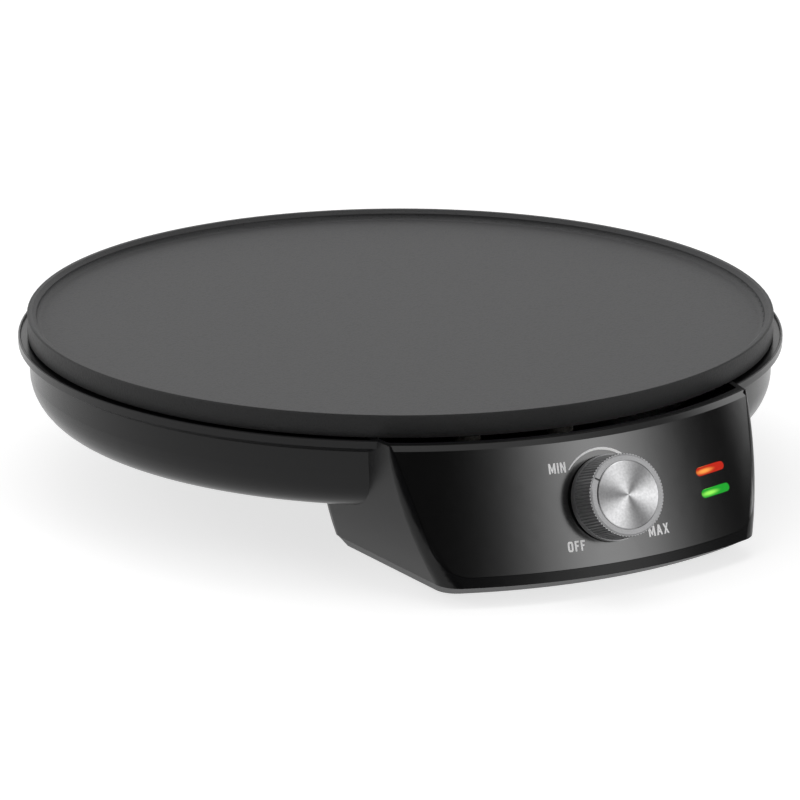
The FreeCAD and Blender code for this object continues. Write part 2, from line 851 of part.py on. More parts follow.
def make_pilot_lamps():
    """Two small lamps, each held in its pocket by its collar."""
    lamps = []
    for frame in lamp_frames():
        tip = -lens_length - lamp_clearance
        bulb = bar(bulb_radius, tip - bulb_length, tip - bulb_radius)
        dome = Part.makeCone(bulb_radius, bulb_radius / 2, bulb_radius, Vec(0, 0, tip - bulb_radius))
        lamps.append(placed(fused([bulb, dome]), frame))
    return Part.makeCompound(lamps)


def make_panel_screws():
    screws = []
    for frame in panel_screw_frames():
        seat = -(panel_thickness + housing_wall + panel_clearance)
        head = bar(panel_screw_head_radius, seat - panel_screw_head_height, seat)
        shank = bar(panel_screw_radius, seat, seat + panel_screw_bite + panel_clearance - thread_clearance)
        screws.append(placed(fused([head, shank]), frame))
    return Part.makeCompound(screws)


def make_bottom_cover():
    """Tray under the housing with a tucked-in edge, screw cups, foot sockets and vents."""
    wires = [
        housing_outline(foot_proud, cover_front_tuck + panel_tuck(), cover_side_tuck, cover_side_tuck),
        housing_outline(cover_top, cover_gap, cover_gap, cover_gap),
    ]
    body = Part.makeLoft(wires, True, True)
    side_inset = housing_wall + cover_side_tuck
    hollow = housing_block(foot_proud + cover_floor, cover_top + beyond,
                           housing_wall + cover_front_tuck + panel_tuck(), side_inset, side_inset)
    body = body.cut(hollow)
    cups = [cylinder(cover_cup_radius, cover_cup_height, spot + Vec(0, 0, foot_proud)) for spot in cover_post_spots()]
    socket_height = pad_recess + pad_stem_length + cover_floor / 2
    sockets = [cylinder(pad_stem_radius + cover_floor, socket_height, spot + Vec(0, 0, foot_proud))
               for spot in front_foot_spots()]
    plinths = [cylinder(pad_radius + cover_floor, cover_floor + pad_recess, spot + Vec(0, 0, foot_proud))
               for spot in front_foot_spots()]
    block_pad = cylinder(block_pad_radius, cover_floor + block_pad_height, block_spot() + Vec(0, 0, foot_proud))
    body = fused([body] + cups + sockets + plinths + [block_pad])
    cutters = []
    for spot in cover_post_spots():
        cutters.append(cylinder(cover_screw_head_radius + through_clearance, cover_cup_height - cover_cup_roof,
                                spot + Vec(0, 0, foot_proud)))
        cutters.append(cylinder(cover_screw_radius + through_clearance, cover_cup_height + cut_margin,
                                spot + Vec(0, 0, foot_proud)))
    for spot in front_foot_spots():
        cutters.append(cylinder(pad_radius + pad_stem_clearance, pad_recess, spot + Vec(0, 0, foot_proud)))
        cutters.append(cylinder(pad_stem_radius + pad_stem_clearance, pad_stem_length,
                                spot + Vec(0, 0, foot_proud + pad_recess)))
    cutters.append(cylinder(block_screw_radius + thread_clearance, block_pad_height + cover_floor / 2,
                            block_spot() + Vec(0, 0, foot_proud + cover_floor / 2)))
    for index in range(cover_vent_count):
        x = (index - (cover_vent_count - 1) / 2) * cover_vent_pitch
        centre = Vec(x, housing_rear - housing_wall - 2 * vent_length, 0)
        cutters.append(slot_through(vent_length, centre, 90, foot_proud - cut_margin,
                                    foot_proud + cover_floor + cut_margin))
    return body.cut(cutters)


def panel_tuck():
    """How much further out the leaning front would reach at the table than the cover does."""
    return (cover_top - foot_proud) * lean_slope


def make_cover_screws():
    screws = []
    for spot in cover_post_spots():
        seat = foot_proud + cover_cup_height - cover_cup_roof
        head = cylinder(cover_screw_head_radius, cover_screw_head_height,
                        spot + Vec(0, 0, seat - cover_screw_head_height))
        shank = cylinder(cover_screw_radius, cover_screw_length - screw_tip_gap, spot + Vec(0, 0, seat))
        screws.append(fused([head, shank]))
    return Part.makeCompound(screws)


def make_foot_pads(spots):
    """Rubber pads, each pressed into its socket by a stem."""
    pads = []
    for spot in spots:
        disc = cylinder(pad_radius, foot_proud + pad_recess, spot)
        stem = cylinder(pad_stem_radius, pad_stem_length - pad_stem_clearance,
                        spot + Vec(0, 0, foot_proud + pad_recess))
        pad = fused([disc, stem])
        rim = [edge for edge in pad.Edges if abs(edge.BoundBox.ZMax) < pad_stem_clearance]
        pads.append(pad.makeChamfer(pad_recess / 2, rim))
    return Part.makeCompound(pads)


def make_heat_shield():
    """Pressed pan that keeps the element's heat off the base."""
    inner = shield_radius - shield_sheet
    pan = revolve_points([
        (0, column_top), (shield_radius, column_top), (shield_radius, shield_top + shield_rim_height),
        (inner, shield_top + shield_rim_height), (inner, shield_top), (0, shield_top),
    ])
    cutters = []
    for spot in column_spots():
        cutters.append(cylinder(plate_screw_radius + through_clearance, beyond, spot + Vec(0, 0, column_top - cut_margin)))
    for foot in element_feet():
        cutters.append(cylinder(bead_radius + shield_hole_clearance, beyond, Vec(foot.x, foot.y, column_top - cut_margin)))
    cutters.append(cylinder(capillary_radius + 2 * shield_hole_clearance, beyond,
                            Vec(0, capillary_rise_y, column_top - cut_margin)))
    return pan.cut(cutters)


def make_plate_spacers():
    """Tubes between the shield and the bosses of the plate."""
    spacers = []
    for spot in column_spots():
        height = boss_bottom - shield_top
        tube = cylinder(spacer_radius, height, spot + Vec(0, 0, shield_top))
        spacers.append(tube.cut(cylinder(plate_screw_radius + through_clearance, height,
                                         spot + Vec(0, 0, shield_top))))
    return Part.makeCompound(spacers)


def make_plate_screws():
    screws = []
    seat = bowl_bottom + counterbore_depth
    for spot in column_spots():
        head = cylinder(plate_screw_head_radius, plate_screw_head_height,
                        spot + Vec(0, 0, seat - plate_screw_head_height))
        shank = cylinder(plate_screw_radius, boss_bottom + thread_depth - screw_tip_gap - seat,
                         spot + Vec(0, 0, seat))
        screws.append(fused([head, shank]))
    return Part.makeCompound(screws)


def make_heating_element():
    return swept(element_path()[0], element_radius, element_sides)


def make_element_beads():
    """Ceramic beads that close the element's ends."""
    beads = []
    for foot in element_feet():
        top = foot.z + bead_overlap
        bead = cylinder(bead_radius, bead_length, Vec(foot.x, foot.y, top - bead_length))
        socket_radius = element_radius / math.cos(math.pi / element_sides) + element_seat_clearance
        bead = bead.cut(cylinder(socket_radius, bead_overlap, foot))
        bead = bead.cut(cylinder(pin_radius + pin_clearance(), bead_length, foot - Vec(0, 0, bead_length)))
        beads.append(bead)
    return Part.makeCompound(beads)


def pin_clearance():
    return element_seat_clearance / 2


def make_element_pins():
    pins = [cylinder(pin_radius, pin_length, foot - Vec(0, 0, pin_length)) for foot in element_feet()]
    return Part.makeCompound(pins)


def clip_screw_spots():
    """Screws of the probe's clip and of the cut-out's clip, seen from above."""
    return [Vec(x + side * (radius + clip_sheet + clip_ear / 2), 0, 0)
            for x, radius in ((0.0, probe_radius), (cutout_x, cutout_radius)) for side in (-1, 1)]


def make_strap_clip(x, radius):
    """Bent strip that holds a rod against the plate's underside."""
    inner = radius + clip_clearance
    outer = inner + clip_sheet
    centre = Vec(x, -clip_width / 2, plate_underside - radius - clip_clearance)
    along = Vec(0, 1, 0)
    saddle = cylinder(outer, clip_width, centre, along)
    walls = box_between(Vec(x - outer, -clip_width / 2, centre.z), Vec(x + outer, clip_width / 2, plate_underside))
    reach = outer + clip_ear
    ears = box_between(Vec(x - reach, -clip_width / 2, plate_underside - clip_sheet),
                       Vec(x + reach, clip_width / 2, plate_underside))
    strap = fused([saddle, walls, ears])
    hollow = fused([
        cylinder(inner, clip_width, centre, along),
        box_between(Vec(x - inner, -clip_width / 2, centre.z), Vec(x + inner, clip_width / 2, plate_underside)),
    ])
    upper = box_between(Vec(x - reach, -clip_width, plate_underside), Vec(x + reach, clip_width, rim_top))
    holes = [cylinder(clip_screw_radius + through_clearance, 2 * clip_sheet,
                      spot + Vec(0, 0, plate_underside - cut_margin))
             for spot in clip_screw_spots()]
    return strap.cut([hollow, upper] + holes)


def make_clip_screws():
    screws = []
    for spot in clip_screw_spots():
        seat = plate_underside - clip_sheet
        head = cylinder(clip_screw_head_radius, clip_screw_head_height,
                        spot + Vec(0, 0, seat - clip_screw_head_height))
        shank = cylinder(clip_screw_radius, clip_screw_depth + clip_sheet - thread_clearance, spot + Vec(0, 0, seat))
        screws.append(fused([head, shank]))
    return Part.makeCompound(screws)


def probe_level():
    return plate_underside - probe_radius - clip_clearance / 2


def make_probe():
    return cylinder(probe_radius, probe_length, Vec(0, -probe_length / 2, probe_level()), Vec(0, 1, 0))


def make_cutout():
    """Thermal cut-out: a sleeve with a lead at each end."""
    level = plate_underside - cutout_radius - clip_clearance / 2
    sleeve = cylinder(cutout_radius, cutout_length, Vec(cutout_x, -cutout_length / 2, level), Vec(0, 1, 0))
    reach = cutout_length / 2 + cutout_lead_length
    lead = cylinder(cutout_lead_radius, 2 * reach, Vec(cutout_x, -reach, level), Vec(0, 1, 0))
    return fused([sleeve, lead])


def rounded_path(points, radius):
    """Lines through the points with a tangent arc at each inner corner."""
    edges = []
    start = points[0]
    for previous, corner, following in zip(points[:-2], points[1:-1], points[2:]):
        back = (previous - corner).normalize()
        ahead = (following - corner).normalize()
        half = back.getAngle(ahead) / 2
        trim = radius / math.tan(half)
        first = corner + back * trim
        last = corner + ahead * trim
        middle = corner + (back + ahead).normalize() * (radius / math.sin(half) - radius)
        edges.append(line(start, first))
        edges.append(arc(first, middle, last))
        start = last
    edges.append(line(start, points[-1]))
    return edges


def make_capillary():
    """Thin tube from the thermostat through the window and up to the probe."""
    frame = panel_frame(0, knob_level)
    start = frame.multVec(Vec(0, capillary_offset, -pad_depth - thermostat_depth))
    inward = frame.multVec(Vec(0, capillary_offset, -pad_depth - thermostat_depth - capillary_run))
    points = [
        start,
        inward,
        Vec(0, capillary_rise_y, inward.z),
        Vec(0, capillary_rise_y, probe_level()),
        Vec(0, -probe_length / 2, probe_level()),
    ]
    return swept(rounded_path(points, capillary_bend), capillary_radius, capillary_sides)


def make_thermostat():
    """Round can with a threaded bush in front and blade terminals behind."""
    rear = -pad_depth - thermostat_depth
    can = cylinder(thermostat_radius, thermostat_depth, Vec(0, 0, rear))
    bush = cylinder(bush_radius, pad_depth + bush_proud, Vec(0, 0, -pad_depth))
    tabs = []
    for side in (-1, 1):
        x = side * thermostat_radius / 2
        half = thermostat_tab_size / 2
        tabs.append(box_between(Vec(x - half, -thermostat_tab_size, rear - thermostat_tab_length),
                                Vec(x + half, clip_sheet - thermostat_tab_size, rear)))
    body = fused([can, bush] + tabs)
    bore = cylinder(shaft_radius + shaft_clearance, thermostat_depth + pad_depth + bush_proud,
                    Vec(0, 0, rear + housing_wall))
    return placed(body.cut(bore), panel_frame(0, knob_level))


def make_thermostat_nut():
    corner = nut_across_flats / 2 / math.cos(math.pi / nut_sides)
    turns = [2 * math.pi * index / nut_sides for index in range(nut_sides + 1)]
    points = [Vec(corner * math.cos(turn), corner * math.sin(turn), 0) for turn in turns]
    nut = Part.Face(Part.makePolygon(points)).extrude(Vec(0, 0, nut_thickness))
    nut = nut.cut(cylinder(bush_radius + thread_clearance, nut_thickness, Vec(0, 0, 0)))
    nut.translate(Vec(0, 0, washer_thickness - spot_face_depth))
    return placed(nut, panel_frame(0, knob_level))


def make_thermostat_washer():
    washer = cylinder(washer_radius, washer_thickness, Vec(0, 0, -spot_face_depth))
    bore = cylinder(bush_radius + bush_clearance, washer_thickness, Vec(0, 0, -spot_face_depth))
    return placed(washer.cut(bore), panel_frame(0, knob_level))


def make_thermostat_shaft():
    """Control shaft with a flat on its free end."""
    rear = -pad_depth - thermostat_depth + housing_wall + shaft_clearance
    shaft = cylinder(shaft_radius, shaft_tip - rear, Vec(0, 0, rear))
    flat = box_between(Vec(-2 * shaft_radius, shaft_flat, bush_proud + shaft_clearance),
                       Vec(2 * shaft_radius, 2 * shaft_radius, shaft_tip + cut_margin))
    return placed_knob(shaft.cut(flat))


def placed_knob(shape):
    """Turns a piece of the dial to its rest angle and puts it on the panel."""
    turned = shape.copy()
    turned.rotate(Vec(0, 0, 0), UP, pointer_angle)
    return placed(turned, panel_frame(0, knob_level))


def knurled_ring(radius, level):
    """Closed outline with one shallow notch for each rib of the grip."""
    points = []
    step = 2 * math.pi / knurl_count
    for index in range(knurl_count):
        for share, size in ((0.0, radius - knurl_depth), (0.3, radius), (0.7, radius)):
            turn = (index + share) * step
            points.append(Vec(size * math.cos(turn), size * math.sin(turn), level))
    points.append(points[0])
    return Part.makePolygon(points)


def make_knob_body():
    """Knob: smooth skirt, ribbed grip, flat land with a pointer, hub for the shaft."""
    grip_start = knob_gap + knob_skirt_height
    grip_end = grip_start + knob_grip_height
    grip = Part.makeLoft([knurled_ring(knob_grip_base_radius, grip_start),
                          knurled_ring(knob_grip_front_radius, grip_end)], True, True)
    core_base = knob_grip_base_radius - knurl_depth
    turned = revolve_points([
        (0, knob_gap), (knob_skirt_radius, knob_gap), (knob_skirt_radius, grip_start),
        (core_base, grip_start), (knob_grip_front_radius - knurl_depth, grip_end),
        (knob_face_radius, knob_front), (0, knob_front),
    ])
    body = fused([turned, grip])
    roof = knob_front - cap_thickness - knob_web
    hollow_radius = knob_skirt_radius - knob_wall
    hollow = cylinder(hollow_radius, roof - knob_gap, Vec(0, 0, knob_gap))
    hollow = hollow.cut(cylinder(knob_hub_radius, roof, Vec(0, 0, knob_hub_start)))
    bore = cylinder(shaft_radius + shaft_clearance, shaft_tip + shaft_end_gap, Vec(0, 0, 0))
    key = box_between(Vec(-spring_width / 2 - shaft_clearance, 0, 0),
                      Vec(spring_width / 2 + shaft_clearance, shaft_flat + spring_thickness + shaft_clearance, roof))
    recess = cylinder(cap_radius + cap_gap, cap_thickness, Vec(0, 0, knob_front - cap_thickness))
    pointer = box_between(Vec(-pointer_width / 2, cap_radius, knob_front - pointer_depth),
                          Vec(pointer_width / 2, knob_skirt_radius, knob_front + cut_margin))
    return placed_knob(body.cut([hollow, bore, key, recess, pointer]))


def make_knob_cap():
    """Turned metal disc let into the knob's face."""
    low = knob_front - cap_thickness
    high = knob_front + cap_proud
    disc = revolve_points([(0, low), (cap_radius, low), (cap_radius, high - cap_bevel),
                           (cap_radius - cap_bevel, high), (0, high)])
    return placed_knob(disc)


def make_knob_spring():
    """Leaf that presses the hub against the shaft's flat."""
    low = knob_hub_start + shaft_clearance
    roof = knob_front - cap_thickness - knob_web
    leaf = box_between(Vec(-spring_width / 2, shaft_flat + shaft_clearance / 2, low),
                       Vec(spring_width / 2, shaft_flat + spring_thickness, roof - shaft_clearance))
    return placed_knob(leaf)


def make_terminal_block():
    """Screw terminal block with a wire hole and a screw well for each pole."""
    spot = block_spot()
    low = foot_proud + cover_floor + block_pad_height
    corner = spot + Vec(-block_length / 2, -block_width / 2, low)
    block = Part.makeBox(block_length, block_width, block_height, corner)
    cutters = [cylinder(block_screw_radius + through_clearance, block_height, spot + Vec(0, 0, low)),
               cylinder(block_screw_head_radius + through_clearance, block_screw_head_height + cut_margin,
                        spot + Vec(0, 0, low + block_height - block_screw_head_height))]
    for well in terminal_wells():
        cutters.append(cylinder(terminal_radius + through_clearance, terminal_depth,
                                well + Vec(0, 0, low + block_height - terminal_depth)))
    return block.cut(cutters)


def terminal_wells():
    """Centres of the screw wells: one row on each long side of the block."""
    spot = block_spot()
    pitch = block_length / terminal_count
    wells = []
    for index in range(terminal_count):
        x = (index - (terminal_count - 1) / 2) * pitch
        for side in (-1, 1):
            wells.append(spot + Vec(x, side * (block_width / 2 - terminal_radius - terminal_wall), 0))
    return wells


def make_terminal_screws():
    top = foot_proud + cover_floor + block_pad_height + block_height
    height = terminal_depth / 2
    screws = [cylinder(terminal_radius, height, well + Vec(0, 0, top - terminal_depth)) for well in terminal_wells()]
    return Part.makeCompound(screws)


def make_block_screw():
    spot = block_spot()
    seat = foot_proud + cover_floor + block_pad_height + block_height - block_screw_head_height
    head = cylinder(block_screw_head_radius, block_screw_head_height, spot + Vec(0, 0, seat))
    tip = foot_proud + cover_floor / 2 + screw_tip_gap
    shank = cylinder(block_screw_radius, seat - tip, spot + Vec(0, 0, tip))
    return fused([head, shank])


def make_cord_gland():
    """Grommet in the housing's rear wall: a collar on each side and a bore."""
    outer_end = housing_rear + gland_outer_collar
    inner_start = housing_rear - housing_wall
    inner_end = inner_start - gland_inner_collar
    centre_z = gland_level()
    back = Vec(0, -1, 0)
    collar = cylinder(gland_collar_radius, gland_outer_collar, Vec(0, outer_end, centre_z), back)
    neck = cylinder(gland_radius, outer_end - inner_end, Vec(0, outer_end, centre_z), back)
    inner = cylinder(gland_collar_radius, gland_inner_collar, Vec(0, inner_start, centre_z), back)
    bore = cylinder(gland_bore_radius, outer_end - inner_end, Vec(0, outer_end, centre_z), back)
    return fused([collar, neck, inner]).cut(bore)


PIECES = {
    "cooking_plate": make_cooking_plate,
    "base_shell": make_base_shell,
    "control_panel": make_control_panel,
    "bottom_cover": make_bottom_cover,
    "heat_shield": make_heat_shield,
    "plate_spacers": make_plate_spacers,
    "plate_screws": make_plate_screws,
    "heating_element": make_heating_element,
    "element_beads": make_element_beads,
    "element_pins": make_element_pins,
    "thermostat": make_thermostat,
    "thermostat_washer": make_thermostat_washer,
    "thermostat_nut": make_thermostat_nut,
    "capillary_tube": make_capillary,
    "probe_bulb": make_probe,
    "probe_clip": lambda: make_strap_clip(0.0, probe_radius),
    "thermal_cutout": make_cutout,
    "cutout_clip": lambda: make_strap_clip(cutout_x, cutout_radius),
    "clip_screws": make_clip_screws,
    "red_lens": lambda: make_lens(0),
    "green_lens": lambda: make_lens(1),
    "lamp_holder": make_lamp_holder,
    "pilot_lamps": make_pilot_lamps,
    "terminal_block": make_terminal_block,
    "terminal_screws": make_terminal_screws,
    "block_screw": make_block_screw,
    "cord_gland": make_cord_gland,
    "cover_screws": make_cover_screws,
    "panel_screws": make_panel_screws,
    "front_feet": lambda: make_foot_pads(front_foot_spots()),
    "rear_feet": lambda: make_foot_pads(leg_spots()),
    "thermostat_shaft": make_thermostat_shaft,
    "knob_body": make_knob_body,
    "knob_cap": make_knob_cap,
    "knob_spring": make_knob_spring,
}


def origin_shift():
    """Moves the part along y so that its origin is the middle of its footprint."""
    lean = math.radians(panel_lean)
    spot = front_point(panel_radius(knob_level), 0, knob_level)
    knob_reach = -spot.y + knob_front * math.cos(lean) + knob_face_radius * math.sin(lean)
    return Vec(0, (knob_reach - flange_radius) / 2, 0)


def main():
    os.makedirs("parts", exist_ok=True)
    shift = origin_shift()
    for name, make in PIECES.items():
        shape = make()
        shape.translate(shift)
        shape.exportStep("parts/" + name + ".step")
        solids = len(shape.Solids)
        print(name, "solids", solids, "valid", shape.isValid(), "volume", round(shape.Volume, 1))


main()
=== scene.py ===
"""Looks of the electric crepe maker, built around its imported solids."""

import json
import logging
import math
from dataclasses import dataclass, field
from enum import Enum
from typing import Optional, Sequence, Union

import bmesh
import bpy
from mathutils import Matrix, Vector


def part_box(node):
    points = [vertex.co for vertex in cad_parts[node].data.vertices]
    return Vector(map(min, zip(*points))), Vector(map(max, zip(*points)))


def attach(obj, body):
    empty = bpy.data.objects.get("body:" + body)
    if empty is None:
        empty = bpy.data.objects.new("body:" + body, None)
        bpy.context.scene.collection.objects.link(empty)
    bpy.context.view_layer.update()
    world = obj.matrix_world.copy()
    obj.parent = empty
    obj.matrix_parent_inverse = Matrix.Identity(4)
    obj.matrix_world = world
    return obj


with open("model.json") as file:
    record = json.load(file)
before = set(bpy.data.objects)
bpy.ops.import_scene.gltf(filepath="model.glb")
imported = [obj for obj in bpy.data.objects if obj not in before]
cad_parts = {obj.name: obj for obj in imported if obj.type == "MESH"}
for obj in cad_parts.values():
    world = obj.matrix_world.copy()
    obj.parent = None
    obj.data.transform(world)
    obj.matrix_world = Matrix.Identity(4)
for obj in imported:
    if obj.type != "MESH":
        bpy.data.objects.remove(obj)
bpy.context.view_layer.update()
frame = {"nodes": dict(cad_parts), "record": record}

LOG = logging.getLogger("crepe_maker")
BASE = "base"
DIAL = "dial"
MM = 0.001
WHITE = (1.0, 1.0, 1.0, 1.0)
TO_THE_RIGHT = (1.0, 0.0, 0.0)
SEEN_FROM_ABOVE = (1.0, 1.0, 0.0)

Colour = tuple[float, float, float]
Triple = tuple[float, float, float]
Outline = list[tuple[float, float]]
Socket = bpy.types.NodeSocket
Feed = Union[Socket, float, Sequence[float]]


class NodeBench:
    """Adds nodes to one node tree and wires them up."""

    def __init__(self, tree: bpy.types.NodeTree) -> None:
        """Takes the tree to work on.

        Args:
            tree: The node tree of a material or of the world.
        """
        self.tree = tree

    def feed(self, socket: Socket, source: Feed) -> None:
        """Links a socket to another, or writes a value on it.

        Args:
            socket: The input socket.
            source: An output socket or a value.
        """
        if isinstance(source, bpy.types.NodeSocket):
            self.tree.links.new(source, socket)
        else:
            socket.default_value = source

    def add(self, kind: str, inputs: Optional[dict[Union[str, int], Feed]] = None,
            **settings: str) -> bpy.types.Node:
        """Adds one node.

        Args:
            kind: The node's kind, without its common prefix.
            inputs: What its input sockets are fed with.
            settings: Its settings by name.

        Returns:
            The node.
        """
        node = self.tree.nodes.new("ShaderNode" + kind)
        for name, value in settings.items():
            setattr(node, name, value)
        for name, source in (inputs or {}).items():
            self.feed(node.inputs[name], source)
        return node

    def number(self, operation: str, *sources: Feed) -> Socket:
        """Adds a sum on numbers and gives its result."""
        return self.add("Math", dict(enumerate(sources)), operation=operation).outputs["Value"]

    def vector(self, operation: str, *sources: Feed) -> Socket:
        """Adds a sum on vectors and gives its vector."""
        return self.add("VectorMath", dict(enumerate(sources)), operation=operation).outputs["Vector"]

    def measure(self, operation: str, *sources: Feed) -> Socket:
        """Adds a sum on vectors and gives its number."""
        return self.add("VectorMath", dict(enumerate(sources)), operation=operation).outputs["Value"]

    def scaled(self, source: Socket, factor: Socket) -> Socket:
        """Multiplies a vector or colour by a number."""
        return self.add("VectorMath", {0: source, "Scale": factor}, operation="SCALE").outputs["Vector"]

    def ranged(self, source: Socket, low: Sequence[float], high: Sequence[float],
               **settings: str) -> Socket:
        """Maps a number from one range to another.

        Args:
            source: The number.
            low: The start of the range, before and after.
            high: The end of the range, before and after.
            settings: The node's settings by name.

        Returns:
            The socket of the mapped number.
        """
        inputs = {"Value": source, "From Min": low[0], "From Max": high[0],
                  "To Min": low[1], "To Max": high[1]}
        return self.add("MapRange", inputs, **settings).outputs["Result"]

    def chained(self, operation: str, parts: Sequence[Feed]) -> Feed:
        """Joins several numbers by one operation, from the first to the last.

        Args:
            operation: The operation between each number and the next.
            parts: The numbers.

        Returns:
            The result.
        """
        total = parts[0]
        for part in parts[1:]:
            total = self.number(operation, total, part)
        return total

    def place(self) -> Socket:
        """Gives the place on the object, in the object's own frame."""
        return self.add("TexCoord").outputs["Object"]


class Grain(Enum):
    """Kinds of fine relief a finish may have."""

    SPECKLE = "speckle"
    MOULDED = "moulded"
    ROLLED = "rolled"


@dataclass(frozen=True)
class Finish:
    """A surface finish: its colour, gloss and fine relief."""

    name: str
    colour: Colour
    roughness: float
    metallic: float = 0.0
    coat: float = 0.0
    coat_roughness: float = 0.1
    specular: float = 0.5
    ior: float = 1.5
    grain: Grain = Grain.MOULDED
    grain_size: float = 1.0 * MM
    grain_detail: float = 4.0
    cell_share: float = 0.6
    cell_weight: float = 0.6
    rolled_stretch: Triple = (1.0, 0.02, 1.0)
    relief: float = 0.1
    relief_share: float = 0.2
    colour_spread: float = 0.15
    colour_stops: tuple[float, float] = (0.3, 0.7)
    roughness_spread: float = 0.08
    anisotropy: float = 0.0
    glow: float = 0.0
    glow_colour: Colour = (0.0, 0.0, 0.0)
    transmission: float = 0.0

    def build(self) -> bpy.types.Material:
        """Makes the node material of this finish.

        Returns:
            The material, with its colour, roughness and relief worked out by nodes.
        """
        material = bpy.data.materials.new(self.name)
        material.use_nodes = True
        bench = NodeBench(material.node_tree)
        shader = material.node_tree.nodes["Principled BSDF"]
        self._set_constants(shader)
        pattern = self._pattern(bench)
        bench.feed(shader.inputs["Base Color"], self._coloured(bench, pattern))
        bench.feed(shader.inputs["Roughness"], self._roughened(bench, pattern))
        if self.relief > 0:
            self._raise_relief(bench, shader, pattern, self.relief, self.grain_size * self.relief_share)
        self._extend(bench, shader)
        return material

    def _extend(self, bench: NodeBench, shader: bpy.types.Node) -> None:
        """Adds what a special finish has beyond this one: here, nothing."""

    def _set_constants(self, shader: bpy.types.Node) -> None:
        """Writes the values that are the same all over onto the shader.

        Args:
            shader: The material's shader.
        """
        values = {
            "Metallic": self.metallic,
            "Coat Weight": self.coat,
            "Coat Roughness": self.coat_roughness,
            "Specular IOR Level": self.specular,
            "IOR": self.ior,
            "Anisotropic": self.anisotropy,
            "Transmission Weight": self.transmission,
            "Emission Strength": self.glow,
        }
        for socket, value in values.items():
            shader.inputs[socket].default_value = value
        shader.inputs["Emission Color"].default_value = (*self.glow_colour, 1.0)

    def _pattern(self, bench: NodeBench) -> Socket:
        """Makes the pattern that drives colour, roughness and relief.

        Args:
            bench: The bench of the material's tree.

        Returns:
            A socket that gives the pattern from 0 to 1.
        """
        mapping = bench.add("Mapping", {"Vector": bench.place()})
        if self.grain is Grain.ROLLED:
            mapping.inputs["Scale"].default_value = self.rolled_stretch
        where = mapping.outputs["Vector"]
        fineness = 1.0 / self.grain_size
        noise = bench.add("TexNoise", {"Vector": where, "Scale": fineness, "Detail": self.grain_detail})
        if self.grain is not Grain.SPECKLE:
            return noise.outputs["Fac"]
        cells = bench.add("TexVoronoi", {"Vector": where, "Scale": self.cell_share / self.grain_size})
        parts = (cells.outputs["Distance"], self.cell_weight, noise.outputs["Fac"])
        return bench.number("MULTIPLY_ADD", *parts)

    def _coloured(self, bench: NodeBench, pattern: Socket) -> Socket:
        """Lets the pattern vary the colour a little.

        Args:
            bench: The bench of the material's tree.
            pattern: The pattern's socket.

        Returns:
            The socket of the colour.
        """
        ramp = bench.add("ValToRGB", {"Fac": pattern})
        for element, position, change in zip(ramp.color_ramp.elements, self.colour_stops,
                                             (-self.colour_spread, self.colour_spread)):
            element.position = position
            element.color = (*(min(channel * (1.0 + change), 1.0) for channel in self.colour), 1.0)
        return ramp.outputs["Color"]

    def _roughened(self, bench: NodeBench, pattern: Socket) -> Socket:
        """Lets the pattern vary the roughness a little.

        Args:
            bench: The bench of the material's tree.
            pattern: The pattern's socket.

        Returns:
            The socket of the roughness.
        """
        low = max(self.roughness - self.roughness_spread, 0.0)
        high = min(self.roughness + self.roughness_spread, 1.0)
        return bench.ranged(pattern, (0.0, low), (1.0, high))

    def _raise_relief(self, bench: NodeBench, shader: bpy.types.Node, pattern: Socket,
                      strength: float, height: float) -> None:
        """Turns a pattern into fine relief.

        Args:
            bench: The bench of the material's tree.
            shader: The material's shader.
            pattern: The pattern's socket.
            strength: How strong the relief is, from 0 to 1.
            height: The relief's height.
        """
        bump = bench.add("Bump", {"Strength": strength, "Distance": height, "Height": pattern})
        bench.feed(shader.inputs["Normal"], bump.outputs["Normal"])

    def _paint_light_and_shade(self, bench: NodeBench, shader: bpy.types.Node, factor: Socket) -> None:
        """Paints light and shade into the colour, multiplying it by a factor that varies over the surface.

        Args:
            bench: The bench of the material's tree.
            shader: The material's shader.
            factor: The factor's socket: below 1 it paints shade, above 1 it paints light.
        """
        socket = shader.inputs["Base Color"]
        bench.feed(socket, bench.scaled(socket.links[0].from_socket, factor))


@dataclass(frozen=True)
class ControlFace:
    """The panel's conical face, in the frame of the knob's axis."""

    centre: Vector
    outward: Vector
    plate_axis: Vector

    @classmethod
    def from_frame(cls) -> "ControlFace":
        """Reads the knob's axis and the plate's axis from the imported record.

        Returns:
            The face, with every place that follows from it.
        """
        joint = frame["record"]["behaviour"]["joints"][0]
        mounts = {mount["name"]: mount for mount in frame["record"]["mounts"]}
        axis = Vector(joint["axis"]).normalized()
        return cls(Vector(joint["pos_m"]), -axis, Vector(mounts["cooking_surface"]["pos_m"]))

    @property
    def lean(self) -> float:
        """Angle between the face's normal and the horizontal."""
        return math.asin(self.outward.z)

    @property
    def upward(self) -> Vector:
        """Direction up the slope of the face."""
        return Vector((0.0, math.sin(self.lean), math.cos(self.lean)))

    @property
    def radius(self) -> float:
        """Radius of the face at the knob's height."""
        return self.plate_axis.y - self.centre.y

    def point(self, across: float, up: float, lift: float) -> Vector:
        """Finds a point on the face.

        Args:
            across: Distance round the face from the knob's axis, towards +X.
            up: Distance up the slope from the knob's axis.
            lift: Distance out from the face.

        Returns:
            The point in the row frame.
        """
        turn = across / self.radius
        flat = self.radius - up * math.sin(self.lean) + lift * math.cos(self.lean)
        height = self.centre.z + up * math.cos(self.lean) + lift * math.sin(self.lean)
        return Vector((flat * math.sin(turn), self.plate_axis.y - flat * math.cos(turn), height))


